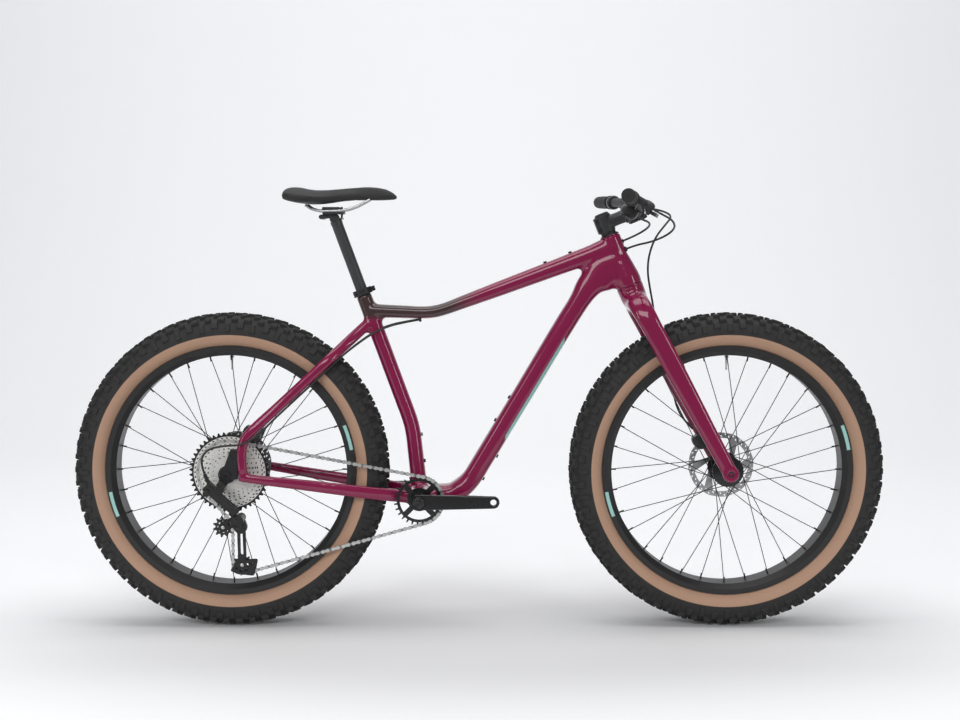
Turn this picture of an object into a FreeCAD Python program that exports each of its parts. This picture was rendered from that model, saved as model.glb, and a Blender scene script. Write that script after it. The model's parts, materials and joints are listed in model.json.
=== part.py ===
import FreeCAD, Part
import math
import os
import Sketcher
from FreeCAD import Placement, Rotation, Vector

# Fat tyre bike at full size in millimetres. The ground is at Z = 0, the origin lies midway between
# the axles, +X points forward, +Y to the rider's left and the chain runs on the -Y side.

doc = FreeCAD.newDocument("fat_tyre_bike")
sheet = doc.addObject("Spreadsheet::Sheet", "sizes")


class Length(float):
    """A number that also carries its formula, so that a feature can be bound to the sheet."""

    def __new__(cls, number, formula):
        length = super().__new__(cls, number)
        length.formula = formula
        return length

    def __add__(self, other):
        return joined(self, "+", other, float(self) + float(other))

    def __radd__(self, other):
        return joined(other, "+", self, float(other) + float(self))

    def __sub__(self, other):
        return joined(self, "-", other, float(self) - float(other))

    def __rsub__(self, other):
        return joined(other, "-", self, float(other) - float(self))

    def __mul__(self, other):
        return joined(self, "*", other, float(self) * float(other))

    def __rmul__(self, other):
        return joined(other, "*", self, float(other) * float(self))

    def __truediv__(self, other):
        return joined(self, "/", other, float(self) / float(other))

    def __neg__(self):
        return Length(-float(self), "(-%s)" % self.formula)


def formula_of(value):
    if isinstance(value, Length):
        return value.formula
    return "(%r)" % float(value)


def joined(left, sign, right, number):
    return Length(number, "(%s %s %s)" % (formula_of(left), sign, formula_of(right)))


# Driving dimensions
SIZES = [
    # stance
    ("wheelbase", 1181.2), ("chainstay_length", 453.5), ("bracket_drop", 64.2),
    ("head_angle", 68.0), ("fork_offset", 52.0), ("fork_length", 493.0),
    # tyres and rims
    ("tyre_radius", 376.0), ("tyre_width", 114.0), ("tread_depth", 6.5), ("casing_wall", 3.2),
    ("tread_angle", 1.9), ("tread_rows", 62), ("bead_seat_radius", 292.0), ("rim_width", 80.0),
    ("rim_flange", 3.0), ("rim_flange_height", 6.5), ("rim_depth", 17.0), ("rim_taper", 13.0),
    ("spoke_radius", 1.0), ("spokes_per_side", 16), ("spoke_rim_offset", 8.0), ("touch_gap", 0.1),
    # hubs and axles
    ("front_hub_width", 150.0), ("rear_hub_width", 197.0), ("front_axle_radius", 7.5),
    ("rear_axle_radius", 6.0), ("axle_bore_radius", 3.5), ("running_gap", 0.08), ("side_gap", 0.4),
    ("flange_radius", 37.0), ("flange_thickness", 4.0), ("spoke_circle_radius", 33.0),
    ("hub_barrel_radius", 22.0), ("hub_end_radius", 13.0), ("front_flange_right", 46.0),
    ("front_flange_left", 34.0), ("rear_flange_right", 42.0), ("rear_flange_left", 60.0),
    ("rotor_radius", 80.0), ("rotor_inner_radius", 66.0), ("rotor_thickness", 2.0),
    ("rotor_seat_radius", 17.5), ("rotor_inset", 15.3), ("rotor_arm_width", 9.0), ("axle_cap_radius", 10.5),
    ("axle_cap_width", 3.2),
    # drive
    ("chain_pitch", 12.7), ("chainring_teeth", 28), ("engaged_teeth", 37), ("pulley_teeth", 11),
    ("cog_pitch", 3.74), ("cog_thickness", 1.6), ("largest_cog_inset", 56.0),
    ("freehub_radius", 17.3), ("freehub_inset", 50.0), ("chainline", 76.5), ("ring_thickness", 1.6),
    ("roller_radius", 3.85), ("tooth_gap", 0.35), ("tooth_height", 3.6), ("chain_inner_width", 2.3),
    ("chain_plate", 0.7), ("chain_plate_height", 8.6), ("chain_pin_radius", 1.7),
    ("crank_length", 175.0), ("crank_thickness", 13.0), ("crank_boss_radius", 18.5), ("crank_tip_radius",
    14.5),
    ("pedal_spacing", 218.0), ("pedal_hole_radius", 7.14), ("spindle_radius", 15.0), ("spindle_wall", 3.0),
    ("bracket_radius", 28.0), ("bracket_width", 121.0), ("bracket_wall", 4.0), ("bearing_width", 14.0),
    ("bearing_flange", 3.5),
    # frame tubes
    ("head_tube_length", 125.0), ("head_tube_lift", 3.0), ("head_top_radius", 24.0), ("head_base_radius",
    32.0),
    ("head_top_bore", 20.5), ("head_base_bore", 26.0), ("headset_depth", 9.0), ("steerer_top_radius", 14.3),
    ("steerer_base_radius", 19.0), ("tube_wall", 2.6), ("seat_tube_low_angle", 83.8), ("seat_angle", 69.8),
    ("seat_tube_low_run", 169.0), ("seat_tube_high_run", 333.5), ("seat_tube_depth", 36.5),
    ("seat_tube_width", 39.0),
    ("seatpost_radius", 13.6), ("post_bore_depth", 318.0), ("top_tube_below_collar", 39.0),
    ("top_tube_flat", 154.0),
    ("top_tube_dip", 6.0), ("top_tube_head_height", 103.0), ("top_tube_rear_depth", 29.0),
    ("top_tube_depth", 35.5),
    ("top_tube_head_depth", 54.0), ("top_tube_rear_width", 40.0), ("top_tube_width", 46.0),
    ("down_tube_flat", 99.0),
    ("down_tube_spread", 100.0), ("down_tube_depth", 46.5), ("down_tube_width", 58.0),
    ("down_tube_base_depth", 48.0), ("down_tube_base_width", 84.0),
    ("seatstay_depth", 23.5), ("seatstay_width", 17.0), ("stay_clearance", 9.0), ("chainstay_depth", 27.0),
    ("chainstay_width", 16.0), ("dropout_thickness", 11.5), ("dropout_radius", 17.0), ("collar_height",
    15.0),
    ("collar_wall", 4.5),
    # fork
    ("crown_radius", 31.5), ("crown_drop", 34.0), ("crown_depth", 54.0), ("leg_depth", 46.0),
    ("leg_low_depth", 36.0),
    ("leg_width", 19.0), ("crown_thickness", 40.0), ("leg_spread", 79.0), ("arch_height", 96.0),
    ("fork_tip_radius", 19.0),
    # cockpit
    ("spacer_height", 11.0), ("spacer_radius", 18.0), ("stem_length", 75.0), ("stem_height", 42.0),
    ("stem_clamp_radius", 19.5), ("stem_depth", 34.0), ("stem_width", 36.0), ("bar_clamp_radius", 15.9),
    ("bar_radius", 11.1), ("bar_width", 780.0), ("bar_flat", 90.0), ("bar_bend", 85.0), ("bar_rise", 24.0),
    ("bar_sweep", 8.6), ("bar_upsweep", 1.2), ("bar_wall", 2.2), ("face_plate_width", 50.0), ("clamp_wall",
    6.5),
    ("clamp_split", 1.5), ("grip_radius", 15.5), ("grip_length", 132.0), ("grip_cap", 3.0), ("lever_inset",
    236.0),
    ("lever_droop", 30.0), ("lever_length", 92.0), ("lever_thickness", 8.0), ("hose_radius", 2.5),
    # seat
    ("post_length", 350.0), ("post_showing", 190.5), ("post_wall", 2.4), ("saddle_length", 271.0),
    ("saddle_width", 138.0), ("saddle_height", 40.0), ("saddle_setback", 123.0), ("rail_radius", 3.5),
    ("rail_spacing", 44.0), ("rail_height", 20.0), ("saddle_lift", 36.0),
    # rear derailleur
    ("hanger_back", 10.0), ("hanger_drop", 28.0), ("link_length", 90.6), ("link_swing", 22.0),
    ("link_angle", 46.8), ("link_width", 9.0),
    ("link_height", 14.0), ("link_spacing", 20.0), ("link_back", 30.0), ("link_rise", 2.0), ("pin_radius",
    2.5),
    ("cage_pivot_radius", 12.5), ("cage_plate", 2.0), ("cage_gap", 10.5), ("cage_length", 100.6),
    ("cage_lean", 29.0), ("guide_reach", 47.5), ("guide_angle", 208.0),
    # fasteners
    ("bolt_radius", 4.3), ("bolt_height", 3.2), ("boss_spacing", 64.0),
]


class Sizes:
    """The driving dimensions by name."""


size = Sizes()
for row, (alias, number) in enumerate(SIZES, start=1):
    sheet.set("A%d" % row, alias.replace("_", " "))
    sheet.set("B%d" % row, str(number))
    sheet.setAlias("B%d" % row, alias)
    setattr(size, alias, Length(number, "sizes." + alias))
doc.recompute()


# Helpers that make document objects

nodes = []


def keep(document_object, label):
    document_object.Label = label
    nodes.append(document_object)
    return document_object


def place(document_object, base, rotation):
    """Put an object at a point, each coordinate bound to its formula where it has one."""
    document_object.Placement = Placement(Vector(*base), rotation)
    for axis, value in zip("xyz", base):
        if isinstance(value, Length):
            document_object.setExpression("Placement.Base." + axis, value.formula)


def plane_of(body, role):
    return [feature for feature in body.Origin.OriginFeatures if feature.Role == role][0]


def hold(sketch, kind, element, point, value):
    """Fix one coordinate of a sketch point, bound to its formula where it has one."""
    number = sketch.addConstraint(Sketcher.Constraint(kind, element, point, float(value)))
    if isinstance(value, Length):
        sketch.setExpression("Constraints[%d]" % number, value.formula)


def outline(body, name, role, points=(), circles=()):
    """A sketch of one closed outline and any circles, (x, y, radius) each."""
    sketch = body.newObject("Sketcher::SketchObject", name)
    sketch.AttachmentSupport = [(plane_of(body, role), "")]
    sketch.MapMode = "FlatFace"
    count = len(points)
    for index in range(count):
        here = Vector(*points[index], 0)
        there = Vector(*points[(index + 1) % count], 0)
        sketch.addGeometry(Part.LineSegment(here, there), False)
    for index in range(count):
        sketch.addConstraint(Sketcher.Constraint("Coincident", index, 2, (index + 1) % count, 1))
    for index, (across, up) in enumerate(points):
        hold(sketch, "DistanceX", index, 1, across)
        hold(sketch, "DistanceY", index, 1, up)
    for across, up, radius in circles:
        ring = sketch.addGeometry(Part.Circle(Vector(across, up, 0), Vector(0, 0, 1), float(radius)), False)
        number = sketch.addConstraint(Sketcher.Constraint("Radius", ring, float(radius)))
        if isinstance(radius, Length):
            sketch.setExpression("Constraints[%d]" % number, radius.formula)
        if float(across) == 0 and float(up) == 0:
            sketch.addConstraint(Sketcher.Constraint("Coincident", ring, 3, -1, 1))
        else:
            hold(sketch, "DistanceX", ring, 3, across)
            hold(sketch, "DistanceY", ring, 3, up)
    return sketch


ALONG_Y = Rotation(Vector(0, 0, 1), 90)
UPRIGHT = Rotation()


def new_body(name):
    return doc.addObject("PartDesign::Body", name)


def turned(name, profile, base, rotation=ALONG_Y):
    """A piece turned on a lathe: (along the axis, radius) points about its own X axis."""
    body = new_body(name)
    sketch = outline(body, name + "_profile", "XY_Plane", profile)
    turning = body.newObject("PartDesign::Revolution", name + "_turning")
    turning.Profile = sketch
    turning.ReferenceAxis = (sketch, ["H_Axis"])
    turning.Angle = 360
    place(body, base, rotation)
    return body


def pad(body, sketch, low, high):
    """A pad between two heights over its sketch's plane."""
    sketch.AttachmentOffset = Placement(Vector(0, 0, float(low)), UPRIGHT)
    if isinstance(low, Length):
        sketch.setExpression("AttachmentOffset.Base.z", low.formula)
    feature = body.newObject("PartDesign::Pad", sketch.Name + "_pad")
    feature.Profile = sketch
    depth = high - low
    feature.Length = float(depth)
    if isinstance(depth, Length):
        feature.setExpression("Length", depth.formula)
    return feature


def rounded(body, feature, radius, direction):
    """Round every straight edge of the last feature that runs along a direction."""
    doc.recompute()
    names = []
    for number, edge in enumerate(feature.Shape.Edges, start=1):
        ends = edge.Vertexes
        if edge.Curve.TypeId != "Part::GeomLine" or len(ends) != 2:
            continue
        run = (ends[1].Point - ends[0].Point).normalize()
        if abs(abs(run.dot(direction)) - 1) < 1e-6:
            names.append("Edge%d" % number)
    fillet = body.newObject("PartDesign::Fillet", feature.Name + "_rounding")
    fillet.Base = (feature, names)
    fillet.Radius = float(radius)
    return fillet


def plate(name, points, low, high, base, rotation, circles=(), corner=0):
    """A flat piece: one outline with holes, padded between two heights, its corners rounded."""
    body = new_body(name)
    feature = pad(body, outline(body, name + "_outline", "XY_Plane", points, circles), low, high)
    if corner:
        rounded(body, feature, corner, Vector(0, 0, 1))
    place(body, base, rotation)
    return body


def feature(name, shape):
    piece = doc.addObject("Part::Feature", name)
    piece.Shape = shape
    return piece


def group(label, pieces):
    """Several separate solids that share one node."""
    gathered = doc.addObject("Part::Compound", label)
    gathered.Links = pieces
    return keep(gathered, label)


def mirrored(name, source):
    """The left-hand copy of a right-hand piece."""
    copy = doc.addObject("Part::Mirroring", name)
    copy.Source = source
    copy.Normal = Vector(0, 1, 0)
    return copy


# Helpers that make shapes


def direction(degrees):
    """A unit vector in the bike's middle plane, measured up from +X."""
    return Vector(math.cos(math.radians(degrees)), 0, math.sin(math.radians(degrees)))


def oval(point, along, across, depth, width, squareness):
    """A closed smooth section, rounder or squarer, square to a centre line."""
    along = Vector(along).normalize()
    across = (across - along * across.dot(along)).normalize()
    upward = along.cross(across)
    power = 2.0 / squareness
    points = []
    for step in range(16):
        turn = 2 * math.pi * step / 16
        sideways = math.copysign(abs(math.cos(turn)) ** power, math.cos(turn)) * width / 2
        height = math.copysign(abs(math.sin(turn)) ** power, math.sin(turn)) * depth / 2
        points.append(point + across * sideways + upward * height)
    curve = Part.BSplineCurve()
    curve.interpolate(Points=points, PeriodicFlag=True)
    return Part.Wire(curve.toShape())


def closer(stations, spacing):
    """More stations on a smooth line through the given ones, so that a loft keeps to its path."""
    filled = []
    for (start, leaving, depth, width), (end, arriving, next_depth, next_width) in zip(stations,
        stations[1:]):
        reach = (end - start).Length
        first = Vector(leaving).normalize() * reach
        last = Vector(arriving).normalize() * reach
        steps = max(1, round(reach / spacing))
        for step in range(steps):
            u = step / steps
            v = 1 - u
            leaving = start * (v * v * (1 + 2 * u)) + first * (u * v * v)
            arriving = end * (u * u * (3 - 2 * u)) - last * (u * u * v)
            point = leaving + arriving
            along = (end - start) * (6 * u * v) + first * (v * (1 - 3 * u)) + last * (u * (3 * u - 2))
            filled.append((point, along, depth * v + next_depth * u, width * v + next_width * u))
    return filled + [stations[-1]]


def lofted(stations, across, squareness, trim=0.0, spacing=30.0):
    """A tube through (point, direction, depth, width) stations, made smaller all round by a trim."""
    sections = []
    for point, along, depth, width in closer(stations, spacing):
        sections.append(oval(point, along, across, depth - 2 * trim, width - 2 * trim, squareness))
    return Part.makeLoft(sections, True, False)


def bend(before, corner, after, reach):
    """Three stations round a corner of a centre line: where it starts, its middle and its end."""
    arriving = (corner - before).normalize()
    leaving = (after - corner).normalize()
    start = corner - arriving * reach
    end = corner + leaving * reach
    middle = (start + corner * 2 + end) * 0.25
    return [(start, arriving), (middle, (arriving + leaving).normalize()), (end, leaving)]


def rod(name, points, radius):
    """A round rod or hose along straight runs joined by tangent arcs as large as the runs allow."""
    points = [Vector(*point) for point in points]
    edges = []
    start = points[0]
    radii = []
    for before, corner, after in zip(points, points[1:], points[2:]):
        arriving = (corner - before).normalize()
        leaving = (after - corner).normalize()
        reach = 0.45 * min((corner - before).Length, (after - corner).Length)
        half_turn = arriving.getAngle(leaving) / 2
        bend_radius = reach / math.tan(half_turn)
        radii.append(bend_radius)
        first = corner - arriving * reach
        last = corner + leaving * reach
        inward = (leaving - arriving).normalize()
        middle = corner + inward * (bend_radius / math.cos(half_turn) - bend_radius)
        edges.append(Part.LineSegment(start, first).toShape())
        edges.append(Part.Arc(first, middle, last).toShape())
        start = last
    edges.append(Part.LineSegment(start, points[-1]).toShape())
    path = Part.Wire(edges)
    ring = Part.Circle(points[0], points[1] - points[0], radius).toShape()
    solid = path.makePipeShell([Part.Wire(ring)], True, False)
    share = solid.Volume / (path.Length * math.pi * radius * radius)
    print("%s: %.0f mm long, bends of %.0f mm and up, volume share %.3f" % (name, path.Length, min(radii),
        share))
    return solid


def toothed(teeth, phase, thickness, bore, middle_y, centre):
    """A sprocket with trapezium teeth that stand in the gaps between a chain's rollers."""
    pitch_radius = pitch_radius_of(teeth)
    root = pitch_radius - size.roller_radius - size.tooth_gap
    tip = pitch_radius + size.tooth_height
    low_half = (size.chain_pitch / 2 - size.tooth_gap) / root * 0.42
    tip_half = size.chain_pitch * 0.09 / tip
    corners = []
    for tooth in range(teeth):
        turn = phase + 2 * math.pi * (tooth + 0.5) / teeth
        for radius, lean in ((root, -low_half), (tip, -tip_half), (tip, tip_half), (root, low_half)):
            corners.append(at_angle(centre, radius, turn + lean, middle_y - thickness / 2))
    face = Part.Face(Part.makePolygon(corners + corners[:1]))
    disc = face.extrude(Vector(0, float(thickness), 0))
    hole = Part.makeCylinder(bore, 3 * thickness, centre + Vector(0, middle_y - 1.5 * thickness, 0),
        Vector(0, 1, 0))
    return disc.cut(hole)


def at_angle(centre, radius, turn, across):
    """A point round an axis along Y, the angle measured from +X towards +Z."""
    return Vector(centre.x + radius * math.cos(turn), across, centre.z + radius * math.sin(turn))


# Points of the bike's middle plane

ACROSS = Vector(0, 1, 0)
rear_axle_at = (-size.wheelbase / 2, 0, size.tyre_radius)
front_axle_at = (size.wheelbase / 2, 0, size.tyre_radius)
rear_axle = Vector(*rear_axle_at)
front_axle = Vector(*front_axle_at)
bracket_reach = Length(
    math.sqrt(size.chainstay_length ** 2 - size.bracket_drop ** 2),
    "sqrt(sizes.chainstay_length ^ 2 - sizes.bracket_drop ^ 2)")
bracket_at = (bracket_reach - size.wheelbase / 2, 0, size.tyre_radius - size.bracket_drop)
bracket = Vector(*bracket_at)
steer_up = direction(180 - size.head_angle)
steer_forward = direction(90 - size.head_angle)
race = front_axle - steer_forward * size.fork_offset + steer_up * size.fork_length
STEERED = Rotation(steer_up.cross(ACROSS) * -1, ACROSS, steer_up, "XYZ")


def on_steerer(height, forward=0.0, across=0.0):
    """A point measured up the steering axis from the crown race."""
    return race + steer_up * height + steer_forward * forward + ACROSS * across


head_top_height = size.head_tube_lift + size.head_tube_length
seat_low = direction(180 - size.seat_tube_low_angle)
seat_up = direction(180 - size.seat_angle)
seat_kink = bracket + seat_low * size.seat_tube_low_run
collar_point = seat_kink + seat_up * size.seat_tube_high_run
SEATED = Rotation(ACROSS.cross(seat_up), ACROSS, seat_up, "XYZ")

front_drop_half = size.front_hub_width / 2
rear_drop_half = size.rear_hub_width / 2


# Tyres: a hollow casing with five tread ribs, cut across into blocks


def tyre(name, centre):
    half = size.tyre_width / 2
    bead_out = size.rim_width / 2 - size.rim_flange - size.touch_gap
    bead_in = bead_out - size.casing_wall
    low = size.bead_seat_radius + size.touch_gap
    over = size.bead_seat_radius + size.rim_flange_height + 1
    top = size.tyre_radius
    crown = size.tyre_radius - size.tread_depth
    side = [
        (bead_in, low), (bead_out, low), (bead_out, over), (bead_out + 10, over + 5), (half - 4, over + 17),
        (half - 2, crown - 52), (half - 2, crown - 42), (half, crown - 36), (half, crown - 28), (half - 6,
        top - 18),
        (half - 14, top - 9), (half - 16, crown - 11), (half - 21, crown - 7.5), (half - 21, top - 6),
        (half - 34, top - 2), (half - 35, crown - 2.5), (half - 42, crown - 0.5), (half - 42, top),
    ]
    hollow = [
        (size.casing_wall / 2, crown - size.casing_wall), (half - 30, crown - 8), (half - 12, crown - 22),
        (half - 6, crown - 42), (half - 8, over + 18), (bead_in + 8, over + 7), (bead_in, over + 2),
    ]
    profile = side + [(-across, up) for across, up in reversed(side)]
    profile += [(-across, up) for across, up in reversed(hollow)] + hollow
    body = turned(name, profile, centre)
    band = [
        (half + 5, crown - 22), (half + 5, top + 5), (-half - 5, top + 5), (-half - 5, crown - 22),
        (-half + 6, crown - 22),
        (-half + 16, crown - 11), (-half + 42, crown - 0.5), (half - 42, crown - 0.5), (half - 16,
        crown - 11),
        (half - 6, crown - 22),
    ]
    sketch = outline(body, name + "_gap", "XY_Plane", band)
    gap = body.newObject("PartDesign::Groove", name + "_groove")
    gap.Profile = sketch
    gap.ReferenceAxis = (sketch, ["H_Axis"])
    gap.setExpression("Angle", size.tread_angle.formula)
    rows = body.newObject("PartDesign::PolarPattern", name + "_rows")
    rows.Originals = [gap]
    rows.Axis = (sketch, ["H_Axis"])
    rows.Angle = 360
    rows.setExpression("Occurrences", size.tread_rows.formula)
    body.Tip = rows
    return keep(body, name)


tyre("front_tyre", front_axle_at)
tyre("rear_tyre", rear_axle_at)


# Rims: a wide hoop with two bead flanges and a well between the bead seats


def rim(name, centre):
    half = size.rim_width / 2
    lip = size.bead_seat_radius + size.rim_flange_height
    wall = size.bead_seat_radius - 6
    inner = size.bead_seat_radius - size.rim_depth
    side = [
        (half - size.rim_taper, inner), (half, wall), (half, lip), (half - size.rim_flange, lip),
        (half - size.rim_flange, size.bead_seat_radius), (half - 20, size.bead_seat_radius), (half - 25,
        inner + 7),
    ]
    profile = side + [(-across, up) for across, up in reversed(side)]
    return keep(turned(name, profile, centre), name)


rim("front_rim", front_axle_at)
rim("rear_rim", rear_axle_at)


# Hubs: a turned barrel with two spoke flanges and a seat for the brake rotor


def hub(name, centre, right_end, left_end, right_flange, left_flange, axle_radius, rotor_face):
    bore = axle_radius + size.running_gap
    half = size.flange_thickness / 2
    seat = size.rotor_seat_radius - size.touch_gap
    profile = [
        (-right_end, bore), (-right_end, size.hub_end_radius), (-right_flange - half - 3,
        size.hub_end_radius + 3),
        (-right_flange - half, size.flange_radius), (-right_flange + half, size.flange_radius),
        (-right_flange + half + 1, size.hub_barrel_radius), (left_flange - half - 1,
        size.hub_barrel_radius),
        (left_flange - half, size.flange_radius), (left_flange + half, size.flange_radius),
        (left_flange + half + 2, size.hub_barrel_radius), (rotor_face, size.hub_barrel_radius),
        (rotor_face, seat), (rotor_face + size.rotor_thickness + 2, seat),
        (left_end, size.hub_end_radius), (left_end, bore),
    ]
    return keep(turned(name, profile, centre), name)


front_rotor_face = front_drop_half - size.rotor_inset
rear_rotor_face = rear_drop_half - size.rotor_inset
hub("front_hub", front_axle_at, front_drop_half - size.side_gap, front_drop_half - size.side_gap,
    size.front_flange_right, size.front_flange_left, size.front_axle_radius, front_rotor_face)
hub("rear_hub", rear_axle_at, size.freehub_inset - size.side_gap,
    rear_drop_half - size.axle_cap_width - size.side_gap,
    size.rear_flange_right, size.rear_flange_left, size.rear_axle_radius, rear_rotor_face)


# Spokes: crossed three times on each side, hooked on the inner face of their flange


def spokes(name, centre, right_flange, left_flange):
    count = int(size.spokes_per_side)
    step = 2 * math.pi / count
    hook = size.flange_thickness / 2 + size.spoke_radius + 2 * size.touch_gap
    layer = 2 * size.spoke_radius + 2 * size.touch_gap
    rim_radius = size.bead_seat_radius - size.rim_depth - size.touch_gap
    strands = []
    for sign, flange, shift in ((-1, right_flange, 0.0), (1, left_flange, step / 2)):
        for number in range(count):
            leading = number % 2
            turn = number * step + shift
            rim_turn = turn + (3 * step if leading else -3 * step)
            drop = leading * layer
            foot = at_angle(centre, size.spoke_circle_radius, turn, sign * (flange - hook - drop))
            top = at_angle(centre, rim_radius, rim_turn, sign * (size.spoke_rim_offset + layer - drop))
            run = top - foot
            strands.append(Part.makeCylinder(size.spoke_radius, run.Length - 0.5, foot, run))
    return keep(feature(name, Part.makeCompound(strands)), name)


spokes("front_spokes", front_axle, size.front_flange_right, size.front_flange_left)
spokes("rear_spokes", rear_axle, size.rear_flange_right, size.rear_flange_left)


# Brake rotors: a braking ring on six arms


def rotor(name, centre, face):
    body = new_body(name)
    low = -face - size.rotor_thickness
    high = -face
    ring = outline(body, name + "_ring", "XZ_Plane",
                   circles=((0, 0, size.rotor_radius), (0, 0, size.rotor_inner_radius)))
    pad(body, ring, low, high)
    carrier = outline(body, name + "_carrier", "XZ_Plane",
                      circles=((0, 0, size.hub_barrel_radius + 3), (0, 0, size.rotor_seat_radius)))
    half = size.rotor_arm_width / 2
    arm_outline = outline(body, name + "_arm", "XZ_Plane", (
        (size.rotor_seat_radius + 2, -half), (size.rotor_inner_radius + 4, half),
        (size.rotor_inner_radius + 4, half + size.rotor_arm_width), (size.rotor_seat_radius + 2, half)))
    arm = pad(body, arm_outline, low, high)
    arms = body.newObject("PartDesign::PolarPattern", name + "_arms")
    arms.Originals = [arm]
    arms.Axis = (ring, ["N_Axis"])
    arms.Angle = 360
    arms.Occurrences = 6
    body.Tip = arms
    last = pad(body, carrier, low, high)
    body.Tip = last
    place(body, centre, UPRIGHT)
    return keep(body, name)


rotor("front_rotor", front_axle_at, front_rotor_face)
rotor("rear_rotor", rear_axle_at, rear_rotor_face)


# Axles: hollow through axles; the rear one carries the two end caps of its hub

front_axle_end = front_drop_half + size.leg_width
keep(turned("front_axle", [
    (-front_axle_end, size.axle_bore_radius), (-front_axle_end, size.front_axle_radius),
    (front_axle_end, size.front_axle_radius), (front_axle_end + 4, size.front_axle_radius),
    (front_axle_end + 4, size.axle_bore_radius)], front_axle_at), "front_axle")
rear_axle_end = rear_drop_half + size.dropout_thickness
cap_start = rear_drop_half - size.axle_cap_width
keep(turned("rear_axle", [
    (-rear_axle_end - 3, size.axle_bore_radius), (-rear_axle_end - 3, size.axle_cap_radius),
    (-rear_axle_end, size.axle_cap_radius), (-rear_axle_end, size.rear_axle_radius),
    (-rear_drop_half, size.rear_axle_radius), (-rear_drop_half, size.axle_cap_radius),
    (-cap_start, size.axle_cap_radius), (-cap_start, size.rear_axle_radius),
    (cap_start, size.rear_axle_radius), (cap_start, size.axle_cap_radius), (rear_drop_half,
    size.axle_cap_radius),
    (rear_drop_half, size.rear_axle_radius), (rear_axle_end, size.rear_axle_radius),
    (rear_axle_end, size.axle_bore_radius)], rear_axle_at), "rear_axle")


# Bottom bracket: shell, pressed bearings and the spindle of the cranks

half_shell = size.bracket_width / 2
shell_bore = size.bracket_radius - size.bracket_wall
keep(turned("bottom_bracket_shell", [
    (-half_shell, shell_bore), (-half_shell, size.bracket_radius), (half_shell, size.bracket_radius),
    (half_shell, shell_bore)], bracket_at), "bottom_bracket_shell")


def bracket_bearing(name, sign):
    inner = size.spindle_radius + size.running_gap
    outer = shell_bore - size.touch_gap / 2
    out = half_shell + size.bearing_flange
    profile = [(half_shell - size.bearing_width, inner), (half_shell - size.bearing_width, outer),
        (half_shell, outer),
               (half_shell, size.bracket_radius), (out, size.bracket_radius), (out, inner)]
    return turned(name, [(across * sign, up) for across, up in profile], bracket_at)


group("bottom_bracket_bearings", [bracket_bearing("bearing_right", -1), bracket_bearing("bearing_left", 1)])

crank_outer = size.pedal_spacing / 2
crank_inner = crank_outer - size.crank_thickness
keep(turned("crank_spindle", [
    (-crank_outer, size.spindle_radius - size.spindle_wall), (-crank_outer, size.spindle_radius),
    (crank_outer, size.spindle_radius), (crank_outer, size.spindle_radius - size.spindle_wall)],
    bracket_at), "crank_spindle")


def crank_arm(name, sign):
    """A forged arm: forward on the right, backward on the left."""
    boss = size.crank_boss_radius
    tip = size.crank_tip_radius
    reach = sign * -1 * size.crank_length
    side = -1 * sign
    points = [(-side * boss, -boss), (reach + side * tip, -tip), (reach + side * tip, tip), (-side * boss,
        boss)]
    body = new_body(name)
    sketch = outline(body, name + "_outline", "XZ_Plane", points,
                     ((0, 0, size.spindle_radius), (reach, 0, size.pedal_hole_radius)))
    low = crank_inner if sign < 0 else -crank_outer
    arm = pad(body, sketch, low, low + size.crank_thickness)
    rounded(body, arm, size.crank_tip_radius * 0.92, Vector(0, 1, 0))
    place(body, bracket_at, UPRIGHT)
    return keep(body, name)


crank_arm("crank_arm_right", -1)
crank_arm("crank_arm_left", 1)


# Chain loop: tangent runs round the ring, the tension pulley, the guide pulley and the engaged cog


def pitch_radius_of(teeth):
    return float(size.chain_pitch) / (2 * math.sin(math.pi / teeth))


engaged_y = -(size.largest_cog_inset + size.cog_pitch)
hanger = rear_axle + Vector(-size.hanger_back, 0, -size.hanger_drop)
link_root = hanger + Vector(-size.link_back, 0, size.link_rise)
link_along = direction(-size.link_angle)
link_pin = direction(90 - size.link_angle)
link_reach = size.link_length * math.cos(math.radians(size.link_swing))
link_shift = size.link_length * math.sin(math.radians(size.link_swing))
cage_pivot = link_root + link_along * (link_reach + 21) - link_pin * 8.5
guide_at = cage_pivot + direction(size.guide_angle) * size.guide_reach


def tension_point(lean):
    return guide_at + direction(lean - 90) * size.cage_length


def loop_runs(lean):
    """Wheels of the chain loop in order, each with the headings in which the chain comes and goes."""
    wheels = [
        (bracket, size.chainring_teeth, 1, -size.chainline),
        (tension_point(lean), size.pulley_teeth, 1, engaged_y),
        (guide_at, size.pulley_teeth, -1, engaged_y),
        (rear_axle, size.engaged_teeth, 1, engaged_y),
    ]
    headings = []
    for number, (centre, teeth, sense, across) in enumerate(wheels):
        there, next_teeth, next_sense, next_across = wheels[(number + 1) % 4]
        apart = there - centre
        offset = sense * pitch_radius_of(teeth) - next_sense * pitch_radius_of(next_teeth)
        headings.append(math.atan2(apart.z, apart.x) - math.asin(offset / math.hypot(apart.x, apart.z)))
    pieces = []
    for number, (centre, teeth, sense, across) in enumerate(wheels):
        arriving = headings[number - 1]
        leaving = headings[number]
        swept = (sense * (arriving - leaving)) % (2 * math.pi)
        start = arriving + sense * math.pi / 2
        pieces.append(("arc", centre, int(teeth), sense, start, swept, across))
        there, next_teeth, next_sense, next_across = wheels[(number + 1) % 4]
        first = at_angle(centre, pitch_radius_of(teeth), leaving + sense * math.pi / 2, across)
        last = at_angle(there, pitch_radius_of(next_teeth), leaving + next_sense * math.pi / 2, next_across)
        pieces.append(("run", first, last))
    return pieces


def loop_length(lean):
    total = 0.0
    for piece in loop_runs(lean):
        if piece[0] == "arc":
            total += piece[5] / (2 * math.pi) * piece[2] * float(size.chain_pitch)
        else:
            total += (piece[2] - piece[1]).Length
    return total


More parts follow.
